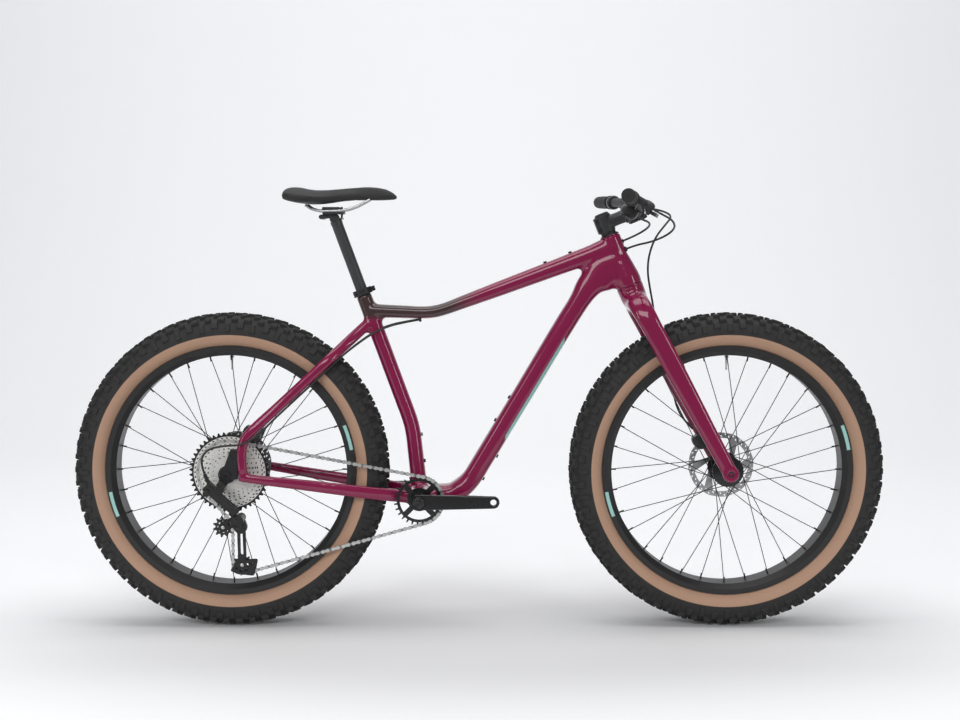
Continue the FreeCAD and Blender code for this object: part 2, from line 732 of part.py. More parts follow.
# The chain has a whole even number of links, so the sprung cage leans until the loop fits them.
link_count = 2 * round(loop_length(float(size.cage_lean)) / float(size.chain_pitch) / 2)
lean_low = float(size.cage_lean) - 25
lean_high = float(size.cage_lean) + 25
for halving in range(50):
    lean_middle = (lean_low + lean_high) / 2
    if loop_length(lean_middle) < link_count * size.chain_pitch:
        lean_high = lean_middle
    else:
        lean_low = lean_middle
cage_lean = (lean_low + lean_high) / 2
tension_at = tension_point(cage_lean)
print("chain: %d links, cage lean %.2f degrees" % (link_count, cage_lean))


def pins_on_loop():
    """Pin centres along the loop, and the angle of the first pin met on each wheel."""
    pitch = float(size.chain_pitch)
    pins = []
    phases = []
    travelled = 0.0
    straight = 2.4 * pitch
    for piece in loop_runs(cage_lean):
        if piece[0] == "arc":
            kind, centre, teeth, sense, start, swept, across = piece
            reach = swept / (2 * math.pi) * teeth * pitch
        else:
            kind, first, last = piece
            reach = (last - first).Length
        here = math.ceil(travelled / pitch - 1e-9) * pitch - travelled
        if kind == "arc":
            phases.append(start - sense * here / pitch * 2 * math.pi / teeth)
        while here < reach - 1e-6:
            if kind == "arc":
                turn = start - sense * here / pitch * 2 * math.pi / teeth
                pins.append(at_angle(centre, pitch_radius_of(teeth), turn, across))
            else:
                pin = first + (last - first) * (here / reach)
                drift = min(1.0, max(0.0, (here - straight) / (reach - 2 * straight)))
                pins.append(Vector(pin.x, first.y + (last.y - first.y) * drift, pin.z))
            here += pitch
        travelled += reach
    return pins[:link_count], phases


chain_pins, wheel_phases = pins_on_loop()


def stadium(low, high):
    """One link plate between two heights, its two pins a pitch apart along X."""
    half = size.chain_plate_height / 2
    far = float(size.chain_pitch)
    edges = [
        Part.LineSegment(Vector(0, low, -half), Vector(far, low, -half)).toShape(),
        Part.Arc(Vector(far, low, -half), Vector(far + half, low, 0), Vector(far, low, half)).toShape(),
        Part.LineSegment(Vector(far, low, half), Vector(0, low, half)).toShape(),
        Part.Arc(Vector(0, low, half), Vector(-half, low, 0), Vector(0, low, -half)).toShape(),
    ]
    return Part.Face(Part.Wire(edges)).extrude(Vector(0, high - low, 0))


def upright_pin(across, low, high, radius):
    return Part.makeCylinder(radius, high - low, Vector(across, low, 0), Vector(0, 1, 0))


def link_templates():
    inside = size.chain_inner_width / 2
    inner_face = inside + size.chain_plate
    outer_face = inner_face + size.touch_gap
    outside = outer_face + size.chain_plate
    bore = size.chain_pin_radius + size.touch_gap
    inner = stadium(inside, inner_face).multiFuse([
        stadium(-inner_face, -inside), upright_pin(0, -inside, inside, size.roller_radius),
        upright_pin(size.chain_pitch, -inside, inside, size.roller_radius)])
    inner = inner.cut(upright_pin(0, -outside, outside, bore)).cut(upright_pin(size.chain_pitch, -outside,
        outside, bore))
    outer = stadium(outer_face, outside).multiFuse([
        stadium(-outside, -outer_face), upright_pin(0, -outside, outside, size.chain_pin_radius),
        upright_pin(size.chain_pitch, -outside, outside, size.chain_pin_radius)])
    return inner, outer


def chain():
    templates = link_templates()
    links = []
    for number, pin in enumerate(chain_pins):
        run = chain_pins[(number + 1) % link_count] - pin
        link = templates[number % 2].copy()
        link.Placement = Placement(pin, Rotation(run, ACROSS, Vector(0, 0, 0), "XYZ"))
        links.append(link)
    return keep(feature("chain", Part.makeCompound(links)), "chain")


chain()


# Chainring: teeth on a ring, four arms and a hub sleeve against the right crank arm


def chainring():
    thickness = size.ring_thickness
    middle = -size.chainline
    teeth = int(size.chainring_teeth)
    root = pitch_radius_of(teeth) - size.roller_radius - size.tooth_gap
    rim_inner = root - 7
    disc = toothed(teeth, wheel_phases[0] % (2 * math.pi / teeth), thickness, rim_inner, middle, bracket)
    across = ACROSS * (middle - thickness / 2)
    pieces = []
    hub_radius = size.spindle_radius + 9
    for number in range(4):
        turn = math.radians(45 + 90 * number)
        arm = Part.makeBox(rim_inner + 3 - size.spindle_radius - 3, thickness, 13,
            Vector(size.spindle_radius + 3, 0, -6.5))
        arm.Placement = Placement(bracket + across, Rotation(ACROSS, -math.degrees(turn)))
        pieces.append(arm)
    pieces.append(Part.makeCylinder(hub_radius, thickness, bracket + across, ACROSS))
    sleeve_length = crank_inner - size.chainline + thickness / 2
    pieces.append(Part.makeCylinder(hub_radius - 4, sleeve_length, bracket - ACROSS * crank_inner, ACROSS))
    ring = disc.multiFuse(pieces)
    bore = Part.makeCylinder(size.spindle_radius, 60, bracket - ACROSS * (crank_inner + 5), ACROSS)
    return keep(feature("chainring", ring.cut(bore)), "chainring")


chainring()


# Cassette: eleven cogs with spacers between them on the freehub body

COG_TEETH = (11, 13, 15, 17, 19, 21, 24, 28, 32, 37, 46)


def cassette():
    cogs = []
    bore = size.freehub_radius + size.touch_gap
    for number, teeth in enumerate(reversed(COG_TEETH)):
        across = -(size.largest_cog_inset + number * size.cog_pitch)
        phase = wheel_phases[3] % (2 * math.pi / teeth) if teeth == int(size.engaged_teeth) else 0.0
        cogs.append(toothed(teeth, phase, size.cog_thickness, bore, across, rear_axle))
        if number:
            low = across + size.cog_thickness / 2
            gap = size.cog_pitch - size.cog_thickness
            ring = Part.makeCylinder(bore + 1.2, gap, rear_axle + ACROSS * low, ACROSS)
            cogs.append(ring.cut(Part.makeCylinder(bore, gap, rear_axle + ACROSS * low, ACROSS)))
    return keep(feature("cassette", Part.makeCompound(cogs)), "cassette")


cassette()
freehub_end = cap_start - size.side_gap
keep(turned("freehub_body", [
    (-freehub_end, size.rear_axle_radius + size.running_gap), (-freehub_end, size.freehub_radius),
    (-size.freehub_inset, size.freehub_radius), (-size.freehub_inset,
    size.rear_axle_radius + size.running_gap)],
    rear_axle_at), "freehub_body")


# Head tube: a tapered tube with a bearing at each end

head_base_at = on_steerer(size.head_tube_lift)
BARREL = Rotation(steer_up, ACROSS, Vector(0, 0, 0), "XYZ")
head_length = size.head_tube_length
head_tube = turned("head_tube", [
    (0, size.head_base_bore), (0, size.head_base_radius), (head_length * 0.16, size.head_base_radius),
    (head_length * 0.6, size.head_top_radius), (head_length, size.head_top_radius), (head_length,
    size.head_top_bore),
    (head_length - size.headset_depth, size.head_top_bore), (size.headset_depth + 6, size.head_base_bore)],
    head_base_at, BARREL)
keep(head_tube, "head_tube")
lower_bearing = turned("lower_bearing", [
    (-size.head_tube_lift, size.steerer_base_radius + size.running_gap), (-size.head_tube_lift,
    size.head_base_radius - 0.5),
    (-0.01, size.head_base_radius - 0.5), (-0.01, size.head_base_bore - size.touch_gap),
    (size.headset_depth, size.head_base_bore - size.touch_gap),
    (size.headset_depth, size.steerer_base_radius + size.running_gap)], head_base_at, BARREL)
upper_bearing = turned("upper_bearing", [
    (head_length - size.headset_depth, size.steerer_top_radius + size.running_gap),
    (head_length - size.headset_depth, size.head_top_bore - size.touch_gap),
    (head_length, size.head_top_bore - size.touch_gap), (head_length, size.head_top_radius),
    (head_length + 2, size.head_top_radius), (head_length + 2, size.steerer_top_radius + size.running_gap)],
    head_base_at, BARREL)
group("headset_bearings", [lower_bearing, upper_bearing])


# Frame tubes: hollow lofts, each cut back to the outside of the tube that it is bonded to

head_block = Part.makeCylinder(size.head_base_radius, head_length * 0.16, head_base_at,
    steer_up).multiFuse([
    Part.makeCone(size.head_base_radius, size.head_top_radius, head_length * 0.44,
                  head_base_at + steer_up * (head_length * 0.16), steer_up),
    Part.makeCylinder(size.head_top_radius, head_length * 0.4,
    head_base_at + steer_up * (head_length * 0.6), steer_up)])
head_clear = head_block.multiFuse([
    Part.makeCylinder(size.crown_radius + 4, 80 + size.head_tube_lift, on_steerer(-80), steer_up),
    Part.makeCylinder(size.head_top_radius + 3, 80, on_steerer(head_top_height), steer_up)])
shell_block = Part.makeCylinder(size.bracket_radius, size.bracket_width, bracket - ACROSS * half_shell,
    ACROSS)

seat_stations = [(bracket, seat_low, size.seat_tube_depth + 3, size.seat_tube_width + 6),
                 (bracket + seat_low * 60, seat_low, size.seat_tube_depth + 1, size.seat_tube_width + 2)]
for point, along in bend(bracket, seat_kink, collar_point, 30):
    seat_stations.append((point, along, size.seat_tube_depth, size.seat_tube_width))
seat_stations.append((collar_point - seat_up * 75, seat_up, size.seat_tube_depth, size.seat_tube_width))
seat_stations.append((collar_point, seat_up, size.seat_tube_depth - 1, size.seat_tube_width - 3.5))
seat_block = lofted(seat_stations, ACROSS, 2.1)
post_bore = Part.makeCylinder(size.seatpost_radius + size.running_gap, size.post_bore_depth + 5,
                              collar_point + seat_up * 5, seat_up * -1)
keep(feature("seat_tube", seat_block.cut(shell_block).cut(post_bore)), "seat_tube")

top_start = collar_point - seat_up * size.top_tube_below_collar
top_knee = top_start + Vector(size.top_tube_flat, 0, -size.top_tube_dip)
top_end = on_steerer(size.top_tube_head_height)
top_stations = [(top_start, (top_knee - top_start), size.top_tube_rear_depth + 3, size.top_tube_rear_width)]
for point, along in bend(top_start, top_knee, top_end, 34):
    top_stations.append((point, along, size.top_tube_rear_depth, size.top_tube_rear_width))
top_run = top_end - top_knee
for share, depth, width in ((0.37, size.top_tube_depth, size.top_tube_width),
                            (0.7, size.top_tube_depth + 4.5, size.top_tube_width),
                            (0.86, size.top_tube_depth + 8, size.top_tube_width),
                            (1.0, size.top_tube_head_depth, size.top_tube_width)):
    top_stations.append((top_knee + top_run * share, top_run, depth, width))
top_block = lofted(top_stations, ACROSS, 2.6)
top_hollow = lofted(top_stations, ACROSS, 2.6, size.tube_wall)
keep(feature("top_tube", top_block.cut(top_hollow).cut(head_clear).cut(seat_block)), "top_tube")

# Where the down tube spreads out to the head tube, its side view is given by its upper and lower edge:
# (height, back) each, as shares of the head tube's length and of the spread.
SPREAD = (((0.19, 1.49), (-0.12, 1.21)), ((0.37, 1.24), (0.05, 0.86)), ((0.53, 1.01), (0.09, 0.58)),
          ((0.74, 0.67), (0.085, 0.36)), ((0.85, 0.0), (0.065, 0.0)))


def spread_station(edges, narrowing):
    upper, lower = [on_steerer(height * head_length, -back * size.down_tube_spread) for height,
        back in edges]
    rise = upper - lower
    return (upper + lower) * 0.5, Vector(rise.z, 0, -rise.x), rise.Length, size.down_tube_width - narrowing


down_spread = [spread_station(edges, 2 * number) for number, edges in enumerate(SPREAD)]
down_low = bracket + Vector(size.down_tube_flat, 0, 0)
down_high = down_spread[0][0]
down_stations = [(bracket, Vector(1, 0, 0), size.down_tube_base_depth, size.down_tube_base_width)]
for (point, along), depth, width in zip(
        bend(bracket, down_low, down_high, 62),
        (size.down_tube_base_depth, size.down_tube_base_depth, size.down_tube_depth),
        (size.down_tube_base_width, size.down_tube_base_width - 8, size.down_tube_width + 6)):
    down_stations.append((point, along, depth, width))
down_middle = (down_low + down_high) * 0.5
down_stations.append((down_middle, down_high - down_low, size.down_tube_depth, size.down_tube_width))
down_stations += down_spread
down_block = lofted(down_stations, ACROSS, 2.8)
down_hollow = lofted(down_stations, ACROSS, 2.8, size.tube_wall)
down_tube = down_block.cut(down_hollow).cut(head_clear).cut(shell_block).cut(seat_block).cut(top_block)
keep(feature("down_tube", down_tube), "down_tube")


# Stays: each side runs clear of the tyre and ends on the dropout

stay_drop_y = rear_drop_half + size.dropout_thickness / 2
tyre_side_y = size.tyre_width / 2 + size.stay_clearance
strut_x = 33.5
chain_end = rear_axle + Vector(strut_x - 4, 0, -4)


stay_away = Vector(-seat_up.z, 0, seat_up.x)
stay_root = collar_point - seat_up * 66 + stay_away * (size.seat_tube_depth * 0.3)
stay_foot = rear_axle + Vector(strut_x + 1.5, 0, 80)
strut_end = rear_axle + Vector(strut_x + 4, 0, 8.5)
STRUT_REACH = 32.0
stay_run = stay_foot - stay_root
stay_outer = tyre_side_y + size.seatstay_width / 2
STAY_LINE = ((0.0, 10.5), (0.16, 31.0), (0.31, stay_outer - 7.5), (0.45, stay_outer - 1.5), (0.7,
    stay_outer + 7.5))


def on_seatstay(share, across, drop=0.0):
    """A point along the seatstay, dropped square to it."""
    run = Vector(stay_run).normalize()
    return stay_root + stay_run * share + Vector(-run.z, 0, run.x) * drop + ACROSS * across


def seatstay(sign):
    points = []
    for number, (share, across) in enumerate(STAY_LINE):
        spare = 2 if number < 2 else 0
        points.append((on_seatstay(share, sign * across), size.seatstay_depth + spare,
            size.seatstay_width + spare))
    for point, along in bend(stay_root, stay_foot, strut_end, STRUT_REACH):
        points.append((point + ACROSS * (sign * stay_drop_y), size.seatstay_depth, size.seatstay_width))
    points.append((strut_end + ACROSS * (sign * stay_drop_y), size.seatstay_depth - 2, size.seatstay_width))
    return stay(points)


def stay(points):
    stations = []
    for number, (point, depth, width) in enumerate(points):
        before = points[max(number - 1, 0)][0]
        after = points[min(number + 1, len(points) - 1)][0]
        stations.append((point, after - before, depth, width))
    return lofted(stations, ACROSS, 2.4, spacing=18.0)


def chainstay(sign):
    outer = tyre_side_y + size.chainstay_width / 2
    run = chain_end - bracket
    points = [
        (bracket + Vector(-4, 0, 2) + ACROSS * (sign * (half_shell - 15)), size.chainstay_depth + 6,
        size.chainstay_width + 8),
        (bracket + run * 0.1 + ACROSS * (sign * (half_shell - 11)), size.chainstay_depth + 4,
        size.chainstay_width + 4),
        (bracket + run * 0.22 + ACROSS * (sign * (outer - 10)), size.chainstay_depth + 3,
        size.chainstay_width),
        (bracket + run * 0.36 + ACROSS * (sign * outer), size.chainstay_depth + 2, size.chainstay_width),
        (bracket + run * 0.62 + ACROSS * (sign * (outer + 13)), size.chainstay_depth - 1,
        size.chainstay_width),
        (bracket + run * 0.86 + ACROSS * (sign * (stay_drop_y - 1)), size.chainstay_depth - 5,
        size.chainstay_width - 1),
        (chain_end + ACROSS * (sign * stay_drop_y), size.chainstay_depth - 7, size.chainstay_width),
    ]
    return stay(points)


seatstay_blocks = {sign: seatstay(sign).cut(seat_block) for sign in (-1, 1)}
group("seatstays", [feature("seatstay_right", seatstay_blocks[-1]), feature("seatstay_left",
    seatstay_blocks[1])])
chainstay_blocks = {sign: chainstay(sign).cut(shell_block).cut(seat_block) for sign in (-1, 1)}
group("chainstays", [feature("chainstay_right", chainstay_blocks[-1]), feature("chainstay_left",
    chainstay_blocks[1])])


# Dropouts: plates that hold the axle; the right one ends in the derailleur hanger


def dropout(name, sign, tail):
    radius = size.dropout_radius
    points = [(strut_x, -9), (strut_x, 60), (strut_x - 10, 70), (-radius + 4, radius - 2), (-radius,
        0)] + tail
    low = rear_drop_half if sign < 0 else -rear_drop_half - size.dropout_thickness
    body = new_body(name)
    sketch = outline(body, name + "_outline", "XZ_Plane", points, ((0, 0, size.rear_axle_radius),))
    rounded(body, pad(body, sketch, low, low + size.dropout_thickness), 5, Vector(0, 1, 0))
    place(body, rear_axle_at, UPRIGHT)
    doc.recompute()
    return feature(name + "_plate", body.Shape.cut(chainstay_blocks[sign]).cut(seatstay_blocks[sign]))


hanger_tail = [(-size.hanger_back - 11, -size.hanger_drop - 3), (-size.hanger_back + 3,
    -size.hanger_drop - 12),
               (-size.hanger_back + 12, -size.hanger_drop - 2)]
brake_tail = [(-size.dropout_radius + 5, -size.dropout_radius + 4), (4, -size.dropout_radius)]
left_dropout = dropout("dropout_left", 1, brake_tail)
group("dropouts", [dropout("dropout_right", -1, hanger_tail), left_dropout])


# Seat collar: a split ring with a pinch bolt ear in front

collar = Part.makeCylinder(size.seat_tube_depth / 2 + size.collar_wall, size.collar_height, Vector(0, 0,
    0.1), Vector(0, 0, 1))
ear = Part.makeBox(14, 17, size.collar_height - 3, Vector(size.seat_tube_depth / 2 - 1, -8.5, 1.6))
collar = collar.fuse(ear).cut(Part.makeCylinder(size.seatpost_radius + 2 * size.running_gap, 60, Vector(0,
    0, -5)))
collar = collar.cut(Part.makeBox(40, 1.6, 60, Vector(0, -0.8, -5)))
collar.Placement = Placement(collar_point, SEATED)
keep(feature("seat_collar", collar), "seat_collar")


# Fork: steerer, crown and two raked legs in one moulding, with a boss at each end of the axle


def on_fork(down, across):
    """A point on the fork's centre surface, raked forward towards the axle."""
    rake = max(0.0, (down - size.crown_drop) / (size.fork_length - size.crown_drop)) * size.fork_offset
    return on_steerer(-down, rake, across)


def fork():
    leg_y = front_drop_half + size.leg_width / 2
    arch = size.arch_height
    stations = []
    for down, across, depth, width in (
            (size.crown_drop, 0, size.crown_depth, size.crown_thickness),
            (size.crown_drop + 6, size.leg_spread * 0.45, size.crown_depth, size.crown_thickness - 4),
            (arch * 0.62, size.leg_spread * 0.86, size.crown_depth - 3, size.leg_width + 10),
            (arch + 10, size.leg_spread, size.leg_depth + 1, size.leg_width + 5),
            (arch + 110, size.leg_spread + 2, size.leg_depth, size.leg_width + 2),
            (size.fork_length - 95, leg_y - 1, size.leg_low_depth + 2, size.leg_width),
            (size.fork_length - 30, leg_y, size.leg_low_depth, size.leg_width),
            (size.fork_length, leg_y, size.leg_low_depth - 2, size.leg_width)):
        stations.append((on_fork(down, across), depth, width))
    aligned = []
    for number, (point, depth, width) in enumerate(stations):
        before = stations[max(number - 1, 0)][0]
        after = stations[min(number + 1, len(stations) - 1)][0]
        along = ACROSS if number == 0 else after - before
        aligned.append((point, along, width, depth))
    leg = lofted(aligned, steer_forward, 2.5)
    tip = Part.makeCylinder(size.fork_tip_radius, size.leg_width, front_axle + ACROSS * front_drop_half,
        ACROSS)
    left = leg.fuse(tip)
    right = left.mirror(Vector(0, 0, 0), ACROSS)
    crown = Part.makeCone(size.crown_radius - 1, size.crown_radius, size.crown_drop,
        on_steerer(-size.crown_drop), steer_up)
    tall = head_top_height + size.spacer_height + size.stem_height
    steerer = Part.makeCylinder(size.steerer_base_radius, head_length * 0.3, race, steer_up).multiFuse([
        Part.makeCone(size.steerer_base_radius, size.steerer_top_radius, head_length * 0.3,
                      on_steerer(head_length * 0.3), steer_up),
        Part.makeCylinder(size.steerer_top_radius, tall - head_length * 0.6, on_steerer(head_length * 0.6),
        steer_up)])
    whole = left.multiFuse([right, crown, steerer])
    axle_hole = Part.makeCylinder(size.front_axle_radius, 2 * size.front_hub_width,
                                  front_axle - ACROSS * size.front_hub_width, ACROSS)
    return keep(feature("fork", whole.cut(axle_hole)), "fork")


fork()


# Spacers, stem and face plate on the steerer

stem_base = head_top_height + size.spacer_height
stem_middle = stem_base + size.stem_height / 2
spacer_bore = size.steerer_top_radius
spacers = turned("spacers", [
    (2 + size.side_gap / 2, spacer_bore), (2 + size.side_gap / 2, size.head_top_radius - 1), (6,
    size.spacer_radius),
    (size.spacer_height, size.spacer_radius), (size.spacer_height, spacer_bore)],
    on_steerer(head_top_height), BARREL)
top_cap = turned("top_cap", [
    (0, 4), (0, size.spacer_radius - 1), (3, size.spacer_radius - 1), (5, size.spacer_radius - 5), (5, 4)],
    on_steerer(stem_base + size.stem_height), BARREL)
group("headset_spacers", [spacers, top_cap])

clamp_centre = on_steerer(stem_middle, size.stem_length)
split_forward = size.stem_length + size.clamp_split / 2
lug_face = size.bar_clamp_radius + 3.5
bolt_rise = size.bar_clamp_radius + 2.5
bolt_out = size.face_plate_width / 2 - 9


def stem():
    """Clamp barrel, tapering neck and the rear half of the bar clamp; x forward, z up the steerer."""
    barrel = Part.makeCylinder(size.stem_clamp_radius, size.stem_height, Vector(0, 0,
        -size.stem_height / 2))
    ears = Part.makeBox(13, 30, size.stem_height - 4, Vector(-size.stem_clamp_radius - 3, -15,
        -size.stem_height / 2 + 2))
    neck = lofted([
        (Vector(4, 0, 0), Vector(1, 0, 0), size.stem_depth, size.stem_width),
        (Vector(size.stem_length * 0.6, 0, 0), Vector(1, 0, 0), size.stem_depth - 3, size.stem_width - 2),
        (Vector(size.stem_length - 8, 0, 0), Vector(1, 0, 0), size.stem_depth + 2,
        size.face_plate_width - 4)], ACROSS, 3.2)
    half = size.face_plate_width / 2
    outer = size.bar_clamp_radius + size.clamp_wall
    jaw = Part.makeCylinder(outer, size.face_plate_width, Vector(size.stem_length, -half, 0), ACROSS)
    lugs = [Part.makeBox(20 + lug_face, 11, 10.5, Vector(size.stem_length - 20, across - 5.5,
        height - 5.25))
            for across in (-bolt_out, bolt_out) for height in (-bolt_rise, bolt_rise)]
    jaw = jaw.multiFuse(lugs)
    front = Part.makeBox(60, 100, 100, Vector(split_forward - size.clamp_split, -50, -50))
    rear = Part.makeBox(60, 100, 100, Vector(split_forward, -50, -50))
    bore = Part.makeCylinder(size.bar_clamp_radius + 2 * size.touch_gap, 100, Vector(size.stem_length, -50,
        0), ACROSS)
    steerer = Part.makeCylinder(size.steerer_top_radius, 100, Vector(0, 0, -50))
    slot = Part.makeBox(40, 2, 100, Vector(-40, -1, -50))
    body = barrel.multiFuse([ears, neck, jaw.cut(front)]).cut(bore).cut(steerer).cut(slot).cut(front)
    cover = jaw.common(rear).cut(bore)
    for piece in (body, cover):
        piece.Placement = Placement(on_steerer(stem_middle), STEERED)
    return body, cover


stem_body, stem_cover = stem()
keep(feature("stem", stem_body), "stem")
keep(feature("stem_faceplate", stem_cover), "stem_faceplate")


# Handlebar: a thick middle, two rising bends and swept ends, mirrored about the middle

half_bar = size.bar_width / 2
sweep_slope = math.tan(math.radians(size.bar_sweep))
upsweep_slope = math.tan(math.radians(size.bar_upsweep))
bend_end = size.bar_flat / 2 + size.bar_bend


def bar_point(out):
    """A point of the right half of the bar at a distance from its middle."""
    back = max(0.0, out - size.bar_flat / 2) * sweep_slope
    rise = size.bar_rise * min(1.0, max(0.0, (out - size.bar_flat / 2) / size.bar_bend))
    rise += max(0.0, out - bend_end) * upsweep_slope
    return clamp_centre + Vector(-back, -out, rise)


bar_out = (bar_point(half_bar) - bar_point(bend_end)).normalize()


def half_handlebar(trim):
    flat = size.bar_flat / 2
    stations = [(clamp_centre, ACROSS * -1, size.bar_clamp_radius), (bar_point(flat * 0.6), ACROSS * -1,
        size.bar_clamp_radius),
                (bar_point(flat + 6), bar_point(flat + 30) - bar_point(flat - 10),
                size.bar_clamp_radius - 1),
                (bar_point(flat + size.bar_bend / 2), bar_point(bend_end) - bar_point(flat),
                size.bar_radius + 1.5),
                (bar_point(bend_end - 6), bar_point(bend_end + 10) - bar_point(bend_end - 30),
                size.bar_radius + 0.3),
                (bar_point(bend_end + 25), bar_out, size.bar_radius), (bar_point(half_bar), bar_out,
                size.bar_radius)]
    sized = [(point, along, 2 * (radius - trim), 2 * (radius - trim)) for point, along, radius in stations]
    return lofted(sized, Vector(1, 0, 0), 2.0, 0.0, 13.0)


right_bar = half_handlebar(0).cut(half_handlebar(size.bar_wall))
keep(feature("handlebar", right_bar.fuse(right_bar.mirror(Vector(0, 0, 0), ACROSS))), "handlebar")


# Grips: rubber sleeves with a flanged inner end and a closed cap

OUT_ALONG = Rotation(bar_out, Vector(0, 0, 1), Vector(0, 0, 0), "XZY")


def grip():
    inner = size.bar_radius + size.touch_gap / 2
    length = size.grip_length
    end = size.grip_cap
    profile = [(-length, inner), (-length, size.grip_radius + 2), (-length + 6, size.grip_radius + 2),
               (-length + 8, size.grip_radius - 0.5), (-length / 2, size.grip_radius + 0.8), (-6,
               size.grip_radius),
               (end - 1, size.grip_radius - 0.5), (end, size.grip_radius - 3), (end, 1), (size.touch_gap,
               1),
               (size.touch_gap, inner)]
    return turned("grip_right", profile, bar_point(half_bar), OUT_ALONG)


right_grip = grip()
group("grips", [right_grip, mirrored("grip_left", right_grip)])


# Brake levers: a perch clamped on the bar, with its cylinder, a pivot pin and a swinging blade

lever_centre = bar_point(size.lever_inset)
lever_droop = direction(-size.lever_droop)
lever_forward = (lever_droop - bar_out * lever_droop.dot(bar_out)).normalize()
lever_axis = lever_forward.cross(bar_out).normalize()
LEVERED = Rotation(lever_forward, bar_out, lever_axis, "XYZ")
pivot_forward = 46.0
pivot_out = 2.0
lever_pivot = lever_centre + lever_forward * pivot_forward + bar_out * pivot_out
clamp_bore = size.bar_radius + size.touch_gap / 2
perch_face = 1.7


def perch():
    """Local frame: x forward from the bar, y outward along it, z down along the lever's pivot."""
    ring = Part.makeCylinder(clamp_bore + 4, 13, Vector(0, -6.5, 0), ACROSS)
    neck = Part.makeBox(34, 15, 12, Vector(10, -8.5, -11))
    tank = lofted([
        (Vector(30, -44, -4), ACROSS, 13, 13), (Vector(34, -20, -4.5), ACROSS, 17, 18),
        (Vector(42, 4, -5), ACROSS, 15, 19), (Vector(45, 13, -5), ACROSS, 12, 14)], Vector(1, 0, 0), 2.6)
    pin = Part.makeCylinder(3, size.lever_thickness + 8, Vector(pivot_forward, pivot_out, -4))
    body = ring.multiFuse([neck, tank, pin]).cut(Part.makeCylinder(clamp_bore, 60, Vector(0, -30, 0),
        ACROSS))
    shelf = Part.makeBox(80, 80, 40, Vector(20, -20, perch_face))
    body = body.cut(shelf).fuse(pin)
    body.Placement = Placement(lever_centre, LEVERED)
    return body


right_perch = feature("brake_perch_right", perch())
group("brake_perches", [right_perch, mirrored("brake_perch_left", right_perch)])
blade_top = perch_face + size.side_gap / 2
blade_points = [(-9, -7), (6, -10), (17, 0), (25, 18), (26, 50), (23, size.lever_length - 4), (20,
    size.lever_length),
                (15, size.lever_length - 4), (16, 50), (13, 24), (4, 9), (-8, 6)]
right_blade = plate("brake_lever_right", blade_points, blade_top, blade_top + size.lever_thickness,
    lever_pivot, LEVERED,
                    ((0, 0, 3 + size.running_gap),), 2.4)
keep(right_blade, "brake_lever_right")
keep(mirrored("left_blade", right_blade), "brake_lever_left")


# Shifter: a pod clamped inboard of the right brake lever, with two thumb levers below it

pod_in = -58.0
pod_face = 38.0
pod_pivot = lever_centre + lever_forward * 12 + bar_out * pod_in


def shifter_pod():
    """Local frame as for the perch, its origin on the bar at the pod."""
    ring = Part.makeCylinder(clamp_bore + 3.5, 11, Vector(0, -5.5, 0), ACROSS)
    post = Part.makeBox(14, 11, 22, Vector(-2, -5.5, 8))
    pod = lofted([
        (Vector(4, -17, 27), ACROSS, 20, 30), (Vector(6, 0, 28), ACROSS, 24, 38), (Vector(8, 17, 28),
        ACROSS, 20, 30)],
        Vector(1, 0, 0), 2.8)
    pin = Part.makeCylinder(3, 14, Vector(12, 0, pod_face - 2))
    front_pin = Part.makeCylinder(2.5, 12, Vector(20, 4, 14))
    body = ring.multiFuse([post, pod]).cut(Part.makeCylinder(clamp_bore, 60, Vector(0, -30, 0), ACROSS))
    shelf = Part.makeBox(80, 80, 40, Vector(-40, -40, pod_face))
    ceiling = Part.makeBox(60, 60, 20, Vector(11.8, -30, -2))
    body = body.cut(shelf).cut(ceiling).multiFuse([pin, front_pin])
    body.Placement = Placement(lever_centre + bar_out * pod_in, LEVERED)
    return body


keep(feature("shifter_body", shifter_pod()), "shifter_body")
thumb_points = [(-7, -7), (6, -8), (9, 4), (2, 22), (-6, 40), (-16, 46), (-18, 38), (-12, 18), (-8, 6)]
keep(plate("shift_thumb_lever", thumb_points, pod_face + size.side_gap, pod_face + 7, pod_pivot, LEVERED,
           ((0, 0, 3 + size.running_gap),), 2.4), "shift_thumb_lever")
release_pivot = lever_centre + bar_out * (pod_in + 4) + lever_forward * 20
release_points = [(-5, -5), (5, -5), (20, 4), (25, 14), (19, 16), (8, 7), (-4, 6)]
keep(plate("shift_release_lever", release_points, 14.5, 18 - size.side_gap, release_pivot, LEVERED,
           ((0, 0, 2.5 + size.running_gap),), 1.8), "shift_release_lever")


# Brake calipers: a body that straddles the rotor, with a tab to its mount


def caliper(face, mount):
    """A caliper about its axle: x out through the body, y across the bike, z along the rotor."""
    middle = face + size.rotor_thickness / 2
    block = lofted([
        (Vector(60, middle, 0), Vector(1, 0, 0), 30, 34), (Vector(76, middle, 0), Vector(1, 0, 0), 46, 36),
        (Vector(96, middle, 0), Vector(1, 0, 0), 36, 30)], ACROSS, 3.0)
    slot_half = size.rotor_thickness / 2 + 0.8
    slot = Part.makeBox(size.rotor_radius + 3 - 40, 2 * slot_half, 120, Vector(40, middle - slot_half, -60))
    return block.cut(slot).fuse(mount)


front_caliper_turn = 128.0
rear_caliper_turn = 66.0


def caliper_place(axle, turn):
    outward = direction(turn)
    return Placement(axle, Rotation(outward, ACROSS, Vector(0, 0, 0), "XYZ"))


